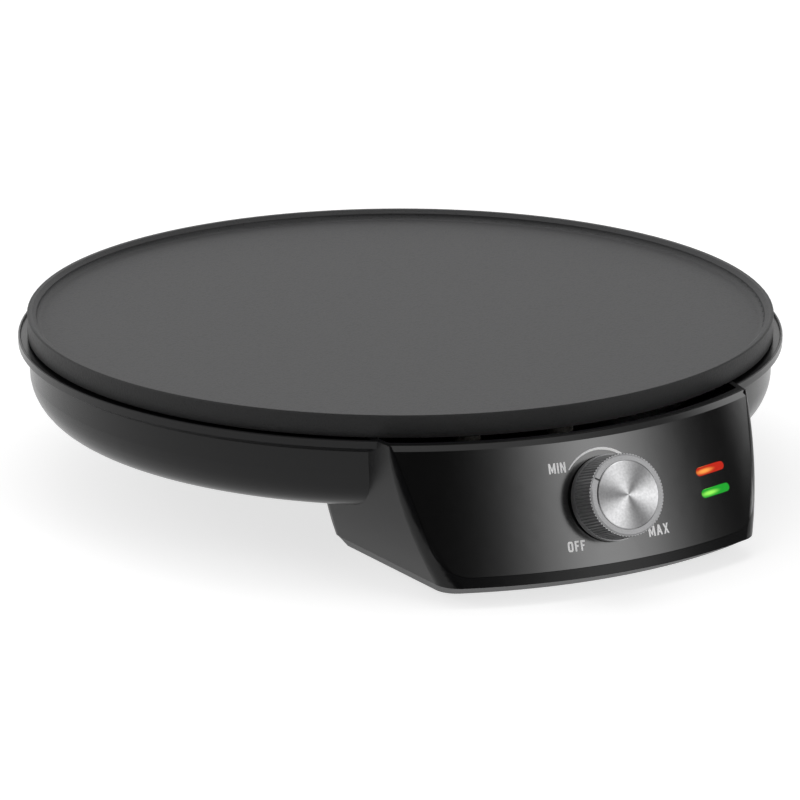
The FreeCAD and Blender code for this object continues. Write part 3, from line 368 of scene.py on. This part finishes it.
@dataclass(frozen=True)
class PlateFinishWithPaintedShade(Finish):
    """The plate's speckled coating, with painted shade darkening its outer wall."""

    wall_radius: float = 151.6 * MM
    wall_fade: float = 1.0 * MM
    # Painted shade: colour factor that darkens the plate's outer wall.
    painted_wall_shade: float = 0.35

    def _extend(self, bench: NodeBench, shader: bpy.types.Node) -> None:
        """Darkens the coating outside the rim's top with painted shade.

        Args:
            bench: The bench of the material's tree.
            shader: The material's shader.
        """
        offset = bench.vector("SUBTRACT", bench.place(), ControlFace.from_frame().plate_axis)
        distance = bench.measure("LENGTH", bench.vector("MULTIPLY", offset, SEEN_FROM_ABOVE))
        top = (self.wall_radius, 1.0)
        wall = (self.wall_radius + self.wall_fade, self.painted_wall_shade)
        # Painted shade: the coating's colour falls to the wall factor outside the rim's top.
        self._paint_light_and_shade(bench, shader, bench.ranged(distance, top, wall))


@dataclass(frozen=True)
class TurnedFinishWithPaintedFan(Finish):
    """A turned metal face whose fine grooves run round the knob's axis, with painted highlights in bright
    and dark sectors.
    """

    ring_size: float = 0.35 * MM
    ring_depth: float = 0.12
    ring_detail: float = 3.0
    # Painted highlights: sectors, turn and colour factors of the bright and dark fans painted on the cap.
    painted_fan_sectors: int = 3
    painted_fan_turn: float = -20.0
    painted_fan_shade: float = 0.42
    painted_fan_highlight: float = 1.45

    def _extend(self, bench: NodeBench, shader: bpy.types.Node) -> None:
        """Turns grooves and highlights round the axis, and paints bright and dark sectors as painted
        highlights.

        Args:
            bench: The bench of the material's tree.
            shader: The material's shader.
        """
        face = ControlFace.from_frame()
        offset = bench.vector("SUBTRACT", bench.place(), face.centre)
        # Painted highlights: the cap's colour is brightened and darkened in sectors.
        self._paint_light_and_shade(bench, shader, self._painted_fan(bench, offset, face))
        around = bench.vector("CROSS_PRODUCT", offset, face.outward)
        groove = bench.add("VectorTransform", {"Vector": around}, vector_type="VECTOR",
                           convert_from="OBJECT", convert_to="WORLD")
        bench.feed(shader.inputs["Tangent"], groove.outputs["Vector"])
        rings = bench.add("TexNoise", {"W": bench.measure("LENGTH", around), "Scale": 1.0 / self.ring_size,
                                       "Detail": self.ring_detail}, noise_dimensions="1D")
        height = self.ring_size * self.relief_share
        self._raise_relief(bench, shader, rings.outputs["Fac"], self.ring_depth, height)

    def _painted_fan(self, bench: NodeBench, offset: Socket, face: ControlFace) -> Socket:
        """Paints bright and dark sectors onto the face's colour, as painted highlights and painted shade of
        turned metal's fan-shaped reflections.

        Args:
            bench: The bench of the material's tree.
            offset: The place seen from the axis.
            face: The panel's face.

        Returns:
            The socket of the painted brightness.
        """
        across = bench.measure("DOT_PRODUCT", offset, TO_THE_RIGHT)
        up = bench.measure("DOT_PRODUCT", offset, face.upward)
        start = -math.radians(self.painted_fan_turn) * self.painted_fan_sectors
        turns = bench.number("MULTIPLY_ADD", bench.number("ARCTAN2", across, up), self.painted_fan_sectors, start)
        return bench.ranged(bench.number("COSINE", turns), (-1.0, self.painted_fan_shade), (1.0, self.painted_fan_highlight))


@dataclass(frozen=True)
class LitLens(Finish):
    """A lamp's lens: darker at its rim, glowing where the lamp sits behind it."""

    rim_glow: Colour = (0.0, 0.0, 0.0)
    heart_glow: Colour = (0.0, 0.0, 0.0)
    heart_shift: float = -2.4 * MM
    heart_rise: float = 1.0 * MM
    heart_length: float = 6.5 * MM
    heart_height: float = 1.3 * MM
    heart_core: float = 0.1
    strength: float = 1.0

    def _extend(self, bench: NodeBench, shader: bpy.types.Node) -> None:
        """Places the glow by the lens node's own box.

        Args:
            bench: The bench of the material's tree.
            shader: The material's shader.
        """
        low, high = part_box(self.name)
        centre = (Vector(low) + Vector(high)) / 2
        place = bench.add("Mapping", vector_type="TEXTURE")
        bench.feed(place.inputs["Vector"], bench.place())
        bench.feed(place.inputs["Location"], centre + Vector((self.heart_shift, 0.0, self.heart_rise)))
        bench.feed(place.inputs["Scale"], (self.heart_length, 1.0, self.heart_height))
        ramp = bench.add("ValToRGB", {"Fac": bench.measure("LENGTH", place.outputs["Vector"])})
        ramp.color_ramp.interpolation = "EASE"
        stops = ((self.heart_core, self.heart_glow), (1.0, self.rim_glow))
        for element, (position, colour) in zip(ramp.color_ramp.elements, stops):
            element.position = position
            element.color = (*colour, 1.0)
        bench.feed(shader.inputs["Emission Color"], ramp.outputs["Color"])
        shader.inputs["Emission Strength"].default_value = self.strength


FINISHES: dict[str, Finish] = {
    # Plate coating: the speckle is its own, the darker outer wall is painted shade.
    "plate": PlateFinishWithPaintedShade("coated_plate_painted_wall_shade", (0.034, 0.034, 0.035), 0.5, specular=0.35, grain=Grain.SPECKLE,
                         grain_size=0.7 * MM, relief=0.6, colour_spread=0.6),
    "shell": Finish("satin_black_shell", (0.006, 0.006, 0.0065), 0.24, specular=0.27, grain_size=0.7 * MM,
                    relief=0.04, roughness_spread=0.03),
    "panel": Finish("polished_panel", (0.002, 0.002, 0.0021), 0.16, coat=1.0, coat_roughness=0.12,
                    specular=1.0, grain_size=3.0 * MM, relief=0.0, roughness_spread=0.02),
    "cover": Finish("matt_cover", (0.014, 0.014, 0.015), 0.45, grain_size=0.5 * MM, relief=0.15),
    "shield": Finish("rolled_sheet", (0.6, 0.6, 0.6), 0.35, metallic=1.0, grain=Grain.ROLLED),
    "steel": Finish("zinc_steel", (0.62, 0.62, 0.63), 0.28, metallic=1.0),
    "element": Finish("dull_sheath", (0.2, 0.19, 0.18), 0.5, metallic=1.0),
    "ceramic": Finish("unglazed_ceramic", (0.78, 0.75, 0.69), 0.65),
    "zinc": Finish("plated_can", (0.56, 0.56, 0.57), 0.35, metallic=1.0),
    "brass": Finish("turned_brass", (0.78, 0.6, 0.28), 0.3, metallic=1.0),
    "copper": Finish("drawn_copper", (0.72, 0.42, 0.26), 0.3, metallic=1.0),
    "red_lens": LitLens("red_lens", (0.3, 0.01, 0.006), 0.15, coat=0.6, coat_roughness=0.03, relief=0.0,
                        rim_glow=(0.42, 0.016, 0.006), heart_glow=(1.0, 0.42, 0.08)),
    "green_lens": LitLens("green_lens", (0.01, 0.2, 0.02), 0.15, coat=0.6, coat_roughness=0.03, relief=0.0,
                          rim_glow=(0.01, 0.3, 0.02), heart_glow=(0.35, 0.95, 0.12)),
    "inner_plastic": Finish("inner_plastic", (0.72, 0.71, 0.67), 0.5),
    "lamp_glass": Finish("lamp_glass", (0.9, 0.9, 0.9), 0.05, transmission=0.9, relief=0.0),
    "gland": Finish("gland_rubber", (0.018, 0.018, 0.018), 0.6, relief=0.2),
    "feet": Finish("foot_rubber", (0.03, 0.03, 0.03), 0.7, relief=0.25),
    "knob": Finish("satin_knob", (0.34, 0.34, 0.345), 0.38, metallic=0.85, grain_size=0.4 * MM, relief=0.03),
    # Knob cap: grooves and anisotropy are real, the fan sectors are painted highlights.
    "cap": TurnedFinishWithPaintedFan("turned_cap_painted_fan", (0.4, 0.4, 0.405), 0.32, metallic=1.0, anisotropy=0.6, relief=0.0,
                        roughness_spread=0.06),
    # Printed marks: the white is the print's own colour; glow=0.25 is painted light, since the print is no
    # lamp.
    "print": Finish("printed_marks_painted_glow", (0.82, 0.82, 0.82), 0.5, grain_size=0.3 * MM, relief=0.0, glow=0.25,
                    glow_colour=(1.0, 1.0, 1.0), colour_spread=0.03),
    "pointer": Finish("pointer_fill", (0.03, 0.03, 0.03), 0.4, grain_size=0.3 * MM, relief=0.0),
}


class Wardrobe:
    """Keeps the material of each finish, made when it is first asked for."""

    def __init__(self) -> None:
        """Starts with no material made."""
        self._made: dict[str, bpy.types.Material] = {}

    def material(self, slot: str) -> bpy.types.Material:
        """Gives the material of a slot.

        Args:
            slot: A material slot of the record, or print or pointer.

        Returns:
            The material.
        """
        if slot not in self._made:
            self._made[slot] = FINISHES[slot].build()
        return self._made[slot]

    def dress_piece(self, name: str, mesh: bpy.types.Mesh, slot: str) -> bpy.types.Object:
        """Gives a new mesh its object and finish.

        Args:
            name: The piece's name.
            mesh: Its mesh.
            slot: The finish it takes.

        Returns:
            The finished piece.
        """
        piece = bpy.data.objects.new(name, mesh)
        bpy.context.scene.collection.objects.link(piece)
        mesh.materials.clear()
        mesh.materials.append(self.material(slot))
        return piece


@dataclass(frozen=True)
class SubAssembly:
    """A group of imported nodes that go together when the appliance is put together."""

    name: str
    nodes: tuple[str, ...]

    def dress(self, wardrobe: Wardrobe) -> None:
        """Gives every node of the group its slot's finish.

        Args:
            wardrobe: The materials.
        """
        slots = {entry["node"]: entry["material_slot"] for entry in frame["record"]["subparts"]}
        for name in self.nodes:
            materials = frame["nodes"][name].data.materials
            materials.clear()
            materials.append(wardrobe.material(slots[name]))
            LOG.info("dressed %s, in the %s", name, self.name)


SUB_ASSEMBLIES = (
    SubAssembly("plate group", ("cooking_plate", "heating_element", "element_beads", "element_pins",
                                "plate_spacers", "plate_screws")),
    SubAssembly("base group", ("base_shell", "bottom_cover", "heat_shield", "cover_screws", "front_feet",
                               "rear_feet")),
    SubAssembly("control group", ("control_panel", "panel_screws", "thermostat", "thermostat_washer",
                                  "thermostat_nut", "capillary_tube", "probe_bulb", "probe_clip",
                                  "thermal_cutout", "cutout_clip", "clip_screws")),
    SubAssembly("lamp group", ("red_lens", "green_lens", "lamp_holder", "pilot_lamps")),
    SubAssembly("wiring group", ("terminal_block", "terminal_screws", "block_screw", "cord_gland")),
    SubAssembly("dial group", ("thermostat_shaft", "knob_body", "knob_cap", "knob_spring")),
)


def dress_solids(wardrobe: Wardrobe) -> None:
    """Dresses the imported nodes, group by group, and makes sure that none is left bare.

    Args:
        wardrobe: The materials.
    """
    for group in SUB_ASSEMBLIES:
        group.dress(wardrobe)
    bare = set(frame["nodes"]).difference(*(group.nodes for group in SUB_ASSEMBLIES))
    if bare:
        raise ValueError(f"nodes in no group: {sorted(bare)}")


@dataclass(frozen=True)
class Lettering:
    """A narrow sans lettering, each letter drawn from its height, width and stroke.

    Shares of the height or of the stroke place the corners inside a letter.
    """

    height: float = 4.0 * MM
    stroke: float = 0.72 * MM
    gap: float = 0.62 * MM
    widths: dict[str, float] = field(default_factory=lambda: {
        "M": 2.95 * MM, "I": 0.72 * MM, "N": 2.3 * MM, "O": 2.2 * MM,
        "F": 1.75 * MM, "A": 2.6 * MM, "X": 2.45 * MM,
    })
    bar_share: float = 0.42
    arm_share: float = 0.85
    slant_share: float = 0.62
    valley_share: float = 0.4
    shoulder_share: float = 0.6
    valley_foot_share: float = 0.1
    valley_tip: float = 0.35
    peak: float = 0.62
    leg: float = 1.05
    sill_share: float = 0.25
    limb: float = 1.1
    waist: float = 0.6
    throat_share: float = 0.17
    round_steps: int = 32
    roundness: float = 0.55

    def outlines(self, letter: str) -> list[Outline]:
        """Draws one letter.

        Args:
            letter: The letter.

        Returns:
            Its closed outlines, the outer one first, with the origin at its lower left.
        """
        drawings = {"I": self._letter_i, "F": self._letter_f, "N": self._letter_n, "M": self._letter_m,
                    "A": self._letter_a, "X": self._letter_x, "O": self._letter_o}
        return drawings[letter](self.widths[letter])

    def length(self, word: str) -> float:
        """Length of a word."""
        return sum(self.widths[letter] for letter in word) + self.gap * (len(word) - 1)

    def _letter_i(self, width: float) -> list[Outline]:
        """A plain stem."""
        return [[(0, 0), (width, 0), (width, self.height), (0, self.height)]]

    def _letter_f(self, width: float) -> list[Outline]:
        """A stem with a full arm on top and a shorter one at its middle."""
        high, thick = self.height, self.stroke
        bar, arm = self.bar_share * high, self.arm_share * width
        return [[(0, 0), (thick, 0), (thick, bar), (arm, bar), (arm, bar + thick), (thick, bar + thick),
                 (thick, high - thick), (width, high - thick), (width, high), (0, high)]]

    def _letter_n(self, width: float) -> list[Outline]:
        """Two stems and a slanting stroke between them."""
        high, thick = self.height, self.stroke
        slant = self.slant_share * high
        return [[(0, 0), (thick, 0), (thick, slant), (width - thick, 0), (width, 0), (width, high),
                 (width - thick, high), (width - thick, high - slant), (thick, high), (0, high)]]

    def _letter_m(self, width: float) -> list[Outline]:
        """Two stems and a deep valley between them."""
        high, thick, middle = self.height, self.stroke, width / 2
        shoulder, foot = self.shoulder_share * high, self.valley_foot_share * high
        tip = self.valley_tip * thick
        return [[(0, 0), (thick, 0), (thick, shoulder), (middle - tip, foot), (middle + tip, foot),
                 (width - thick, shoulder), (width - thick, 0), (width, 0), (width, high),
                 (width - thick, high), (middle, self.valley_share * high), (thick, high), (0, high)]]

    def _letter_a(self, width: float) -> list[Outline]:
        """Two leaning legs and a crossbar, with the counter above it."""
        high, thick, middle = self.height, self.stroke, width / 2
        peak, leg, sill = self.peak * thick, self.leg * thick, self.sill_share * high
        run = middle - peak
        low_corner = leg + run * sill / high
        high_corner = leg + run * (sill + thick) / high
        return [[(0, 0), (leg, 0), (low_corner, sill), (width - low_corner, sill), (width - leg, 0),
                 (width, 0), (middle + peak, high), (middle - peak, high)],
                [(high_corner, sill + thick), (middle, (middle - leg) / run * high),
                 (width - high_corner, sill + thick)]]

    def _letter_x(self, width: float) -> list[Outline]:
        """Two crossing strokes."""
        high, middle = self.height, width / 2
        limb, waist = self.limb * self.stroke, self.waist * self.stroke
        throat = self.throat_share * high
        return [[(0, 0), (limb, 0), (middle, high / 2 - throat), (width - limb, 0), (width, 0),
                 (middle + waist, high / 2), (width, high), (width - limb, high),
                 (middle, high / 2 + throat), (limb, high), (0, high), (middle - waist, high / 2)]]

    def _letter_o(self, width: float) -> list[Outline]:
        """Two rounded loops, one stroke apart."""
        return [self._loop(width, 0.0), self._loop(width, self.stroke)]

    def _loop(self, width: float, inset: float) -> Outline:
        """Draws one loop of the round letter.

        Args:
            width: The letter's width.
            inset: How far the loop lies inside the letter's outline.

        Returns:
            The loop's points.
        """
        points = []
        for step in range(self.round_steps):
            turn = 2 * math.pi * step / self.round_steps
            east, north = (math.copysign(abs(share) ** self.roundness, share)
                           for share in (math.cos(turn), math.sin(turn)))
            points.append((width / 2 + (width / 2 - inset) * east,
                           self.height / 2 + (self.height / 2 - inset) * north))
        return points


@dataclass
class PrintedMarks:
    """Words and the growing arc that are printed round the knob."""

    face: ControlFace
    wardrobe: Wardrobe
    lettering: Lettering = field(default_factory=Lettering)
    lift: float = 0.06 * MM
    word_places: dict[str, tuple[float, float]] = field(default_factory=lambda: {
        "MIN": (-19.9 * MM, 14.05 * MM),
        "OFF": (-16.3 * MM, -16.25 * MM),
        "MAX": (19.0 * MM, -15.5 * MM),
    })
    arc_centre: tuple[float, float] = (-1.57 * MM, 2.0 * MM)
    arc_radius: float = 17.35 * MM
    arc_start: float = -51.5
    arc_end: float = 66.0
    arc_thin: float = 0.4 * MM
    arc_thick: float = 1.0 * MM
    arc_growth: float = 0.5
    arc_steps: int = 72

    def build(self) -> list[bpy.types.Object]:
        """Makes the words and the arc.

        Returns:
            The printed pieces, riding on the base.
        """
        pieces = [self._word(text, *place) for text, place in self.word_places.items()]
        pieces.append(self._arc())
        return pieces

    def _word(self, text: str, across: float, up: float) -> bpy.types.Object:
        """Makes one word and bends it onto the face.

        Args:
            text: The word.
            across: Its middle, round the face.
            up: Its middle, up the slope.

        Returns:
            The word as a mesh.
        """
        curve = bpy.data.curves.new("word_" + text, "CURVE")
        curve.dimensions = "2D"
        curve.fill_mode = "BOTH"
        start = across - self.lettering.length(text) / 2
        foot = up - self.lettering.height / 2
        for letter in text:
            for outline in self.lettering.outlines(letter):
                spline = curve.splines.new("POLY")
                spline.points.add(len(outline) - 1)
                for point, (x, y) in zip(spline.points, outline):
                    point.co = (start + x, foot + y, 0.0, 1.0)
                spline.use_cyclic_u = True
            start += self.lettering.widths[letter] + self.lettering.gap
        mesh = self._filled(curve)
        for vertex in mesh.vertices:
            vertex.co = self.face.point(vertex.co.x, vertex.co.y, self.lift)
        return self._printed("print_" + text.lower(), mesh)

    def _filled(self, curve: bpy.types.Curve) -> bpy.types.Mesh:
        """Turns a flat curve into a filled mesh.

        Args:
            curve: The curve.

        Returns:
            The mesh.
        """
        drawn = bpy.data.objects.new("drawn_word", curve)
        bpy.context.scene.collection.objects.link(drawn)
        bpy.context.view_layer.update()
        mesh = bpy.data.meshes.new_from_object(drawn.evaluated_get(bpy.context.evaluated_depsgraph_get()))
        bpy.data.objects.remove(drawn)
        return mesh

    def _arc(self) -> bpy.types.Object:
        """Makes the arc that grows thicker clockwise.

        Returns:
            The arc as a mesh.
        """
        mesh = bpy.data.meshes.new("heat_arc")
        builder = bmesh.new()
        rows = []
        for step in range(self.arc_steps + 1):
            share = step / self.arc_steps
            turn = math.radians(self.arc_start + (self.arc_end - self.arc_start) * share)
            growth = min(share / self.arc_growth, 1.0)
            half = (self.arc_thin + (self.arc_thick - self.arc_thin) * growth) / 2
            row = []
            for radius in (self.arc_radius - half, self.arc_radius + half):
                across = self.arc_centre[0] + radius * math.sin(turn)
                up = self.arc_centre[1] + radius * math.cos(turn)
                row.append(builder.verts.new(self.face.point(across, up, self.lift)))
            rows.append(row)
        for first, second in zip(rows[:-1], rows[1:]):
            builder.faces.new((first[0], first[1], second[1], second[0]))
        builder.to_mesh(mesh)
        builder.free()
        return self._printed("print_arc", mesh)

    def _printed(self, name: str, mesh: bpy.types.Mesh) -> bpy.types.Object:
        """Dresses a mesh as print on the base.

        Args:
            name: The piece's name.
            mesh: Its mesh.

        Returns:
            The finished piece.
        """
        piece = self.wardrobe.dress_piece(name, mesh, "print")
        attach(piece, BASE)
        return piece


@dataclass
class KnobTrim:
    """The dark fill of the pointer's groove on the knob's land."""

    face: ControlFace
    wardrobe: Wardrobe
    angle: float = 57.0
    width: float = 0.6 * MM
    inner: float = 13.25 * MM
    outer: float = 15.2 * MM
    lift: float = 0.04 * MM

    def build(self) -> list[bpy.types.Object]:
        """Makes the pointer's fill.

        Returns:
            The pieces, riding on the dial.
        """
        turn = math.radians(self.angle)
        right = self.face.upward.cross(self.face.outward)
        along = self.face.upward * math.cos(turn) - right * math.sin(turn)
        side = along.cross(self.face.outward)
        centre = self.face.centre + self.face.outward * (self._land_height() + self.lift)
        mesh = bpy.data.meshes.new("pointer_fill")
        builder = bmesh.new()
        corners = [(self.inner, -1), (self.outer, -1), (self.outer, 1), (self.inner, 1)]
        builder.faces.new([builder.verts.new(centre + along * reach + side * (sign * self.width / 2))
                           for reach, sign in corners])
        builder.to_mesh(mesh)
        builder.free()
        piece = self.wardrobe.dress_piece("pointer_fill", mesh, "pointer")
        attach(piece, DIAL)
        return [piece]

    def _land_height(self) -> float:
        """Height of the knob's land over the panel's face, along the axis."""
        body = frame["nodes"]["knob_body"]
        return max((body.matrix_world @ vertex.co - self.face.centre).dot(self.face.outward)
                   for vertex in body.data.vertices)


@dataclass(frozen=True)
class SoftGlow:
    """A soft light in the world, brightest along one direction."""

    direction: Triple
    strength: float
    sharpness: float
    height_scale: float

    def build(self, bench: NodeBench, direction: Socket) -> Socket:
        """Makes the nodes of the glow.

        Args:
            bench: The bench of the world's tree.
            direction: The socket that gives the direction looked in.

        Returns:
            The socket of the glow's strength.
        """
        squash = Vector((1.0, 1.0, self.height_scale))
        aim = (Vector(self.direction) * squash).normalized()
        looked = bench.vector("NORMALIZE", bench.vector("MULTIPLY", direction, squash))
        ahead = bench.number("MAXIMUM", bench.measure("DOT_PRODUCT", looked, aim), 0.0)
        return bench.number("MULTIPLY", bench.number("POWER", ahead, self.sharpness), self.strength)


@dataclass(frozen=True)
class SoftLamp:
    """A soft rectangular lamp that faces the object."""

    name: str
    place: Triple
    size: tuple[float, float]
    watts: float

    def build(self, target: Vector) -> None:
        """Hangs the lamp.

        Args:
            target: What it faces.
        """
        data = bpy.data.lights.new(self.name, "AREA")
        data.shape = "RECTANGLE"
        data.size, data.size_y = self.size
        data.energy = self.watts
        lamp = bpy.data.objects.new(self.name, data)
        bpy.context.scene.collection.objects.link(lamp)
        lamp.location = self.place
        lamp.rotation_euler = (target - Vector(self.place)).to_track_quat("-Z", "Y").to_euler()


@dataclass
class Studio:
    """Pale floor, soft lamps and the camera at the photograph's angle."""

    camera_place: Vector = field(default_factory=lambda: Vector((-0.84, -1.6208, 0.5937)))
    look: Vector = field(default_factory=lambda: Vector((0.4393, 0.84779, -0.29711)))
    lens: float = 208.03
    sensor: float = 36.0
    far_clip: float = 50.0
    floor_size: float = 12.0
    floor_colour: Colour = (0.55, 0.55, 0.55)
    floor_roughness: float = 0.9
    floor_glow: float = 0.72
    background: float = 1.0
    ambient: float = 0.02
    backdrop: Triple = (0.46, 0.888, 0.0)
    backdrop_edge: tuple[float, float] = (0.15, 0.5)
    glows: tuple[SoftGlow, ...] = (
        SoftGlow((0.44, -0.82, 0.36), 1.95, 18.0, 0.45),
        SoftGlow((-0.2, 1.0, 0.15), 0.9, 1.6, 1.0),
        SoftGlow((-1.0, 0.1, 0.3), 0.3, 6.0, 0.6),
        SoftGlow((0.0, 0.3, 1.0), 0.5, 3.0, 1.0),
    )
    lamps: tuple[SoftLamp, ...] = (
        SoftLamp("left_softbox", (-1.6, 0.6, 0.9), (0.9, 0.9), 3.0),
        SoftLamp("top_softbox", (0.2, 0.5, 1.8), (1.4, 1.0), 6.0),
    )

    def build(self, plate_axis: Vector) -> None:
        """Makes the floor, the world, the lamps and the camera.

        Args:
            plate_axis: A point on the plate's axis, which the camera's place is measured from.
        """
        self._world()
        self._floor()
        for lamp in self.lamps:
            lamp.build(plate_axis)
        self._camera(plate_axis)
        bpy.context.scene.view_settings.view_transform = "Standard"

    def _seen_white(self, bench: NodeBench, mirrored: Optional[Socket] = None) -> Socket:
        """Gives 1 for camera, glossy and transmission rays.

        Args:
            bench: The bench of a material's or the world's tree.
            mirrored: A share for glossy rays, where only some directions show the backdrop.

        Returns:
            The socket of the switch.
        """
        path = bench.add("LightPath")
        glossy = path.outputs["Is Glossy Ray"]
        if mirrored is not None:
            glossy = bench.number("MULTIPLY", glossy, mirrored)
        rays = (path.outputs["Is Camera Ray"], path.outputs["Is Transmission Ray"], glossy)
        return bench.chained("MAXIMUM", rays)

    def _backdrop_share(self, bench: NodeBench) -> Socket:
        """Gives 1 towards the white backdrop behind the object and 0 towards the dim room in front.

        Args:
            bench: The bench of the world's tree.

        Returns:
            The socket of the share.
        """
        direction = bench.add("TexCoord").outputs["Generated"]
        toward = bench.measure("DOT_PRODUCT", direction, self.backdrop)
        start, end = self.backdrop_edge
        return bench.ranged(toward, (start, 0.0), (end, 1.0), interpolation_type="SMOOTHSTEP")

    def _world(self) -> None:
        """White to the camera, and round the object a white backdrop and soft light in a dim room."""
        world = bpy.data.worlds.new("studio")
        bpy.context.scene.world = world
        world.use_nodes = True
        bench = NodeBench(world.node_tree)
        room = world.node_tree.nodes["Background"]
        bench.feed(room.inputs["Color"], WHITE)
        bench.feed(room.inputs["Strength"], self._room_light(bench))
        seen = bench.add("Background", {"Color": WHITE, "Strength": self.background})
        switch = self._seen_white(bench, self._backdrop_share(bench))
        mix = bench.add("MixShader", {"Fac": switch, 1: room.outputs["Background"],
                                      2: seen.outputs["Background"]})
        bench.feed(world.node_tree.nodes["World Output"].inputs["Surface"], mix.outputs["Shader"])

    def _room_light(self, bench: NodeBench) -> Socket:
        """Adds up the dim room and the soft glows by direction.

        Args:
            bench: The bench of the world's tree.

        Returns:
            The socket of the light's strength.
        """
        direction = bench.add("TexCoord").outputs["Generated"]
        levels = [glow.build(bench, direction) for glow in self.glows]
        return bench.chained("ADD", [*levels, self.ambient])

    def _floor(self) -> None:
        """White floor that keeps the object's shadow."""
        mesh = bpy.data.meshes.new("floor")
        half = self.floor_size / 2
        corners = [(-half, -half, 0), (half, -half, 0), (half, half, 0), (-half, half, 0)]
        mesh.from_pydata(corners, [], [(0, 1, 2, 3)])
        floor = bpy.data.objects.new("floor", mesh)
        bpy.context.scene.collection.objects.link(floor)
        material = bpy.data.materials.new("pale_floor")
        material.use_nodes = True
        shader = material.node_tree.nodes["Principled BSDF"]
        shader.inputs["Base Color"].default_value = (*self.floor_colour, 1.0)
        shader.inputs["Roughness"].default_value = self.floor_roughness
        shader.inputs["Specular IOR Level"].default_value = 0.0
        shader.inputs["Emission Color"].default_value = WHITE
        bench = NodeBench(material.node_tree)
        glow = bench.number("MULTIPLY", self._seen_white(bench), self.floor_glow)
        bench.feed(shader.inputs["Emission Strength"], glow)
        mesh.materials.append(material)

    def _camera(self, plate_axis: Vector) -> None:
        """Places the camera at the photograph's angle.

        Args:
            plate_axis: A point on the plate's axis.
        """
        data = bpy.data.cameras.new("photo_camera")
        data.lens = self.lens
        data.sensor_width = self.sensor
        data.clip_end = self.far_clip
        camera = bpy.data.objects.new("photo_camera", data)
        bpy.context.scene.collection.objects.link(camera)
        camera.location = self.camera_place + Vector((0.0, plate_axis.y, 0.0))
        camera.rotation_euler = self.look.to_track_quat("-Z", "Y").to_euler()
        bpy.context.scene.camera = camera


def main() -> None:
    """Dresses the solids, adds the printed marks and sets the studio."""
    logging.basicConfig(level=logging.INFO)
    face = ControlFace.from_frame()
    wardrobe = Wardrobe()
    dress_solids(wardrobe)
    for trim in (PrintedMarks(face, wardrobe), KnobTrim(face, wardrobe)):
        for piece in trim.build():
            LOG.info("made %s", piece.name)
    Studio().build(face.plate_axis)


if __name__ == "__main__":
    main()
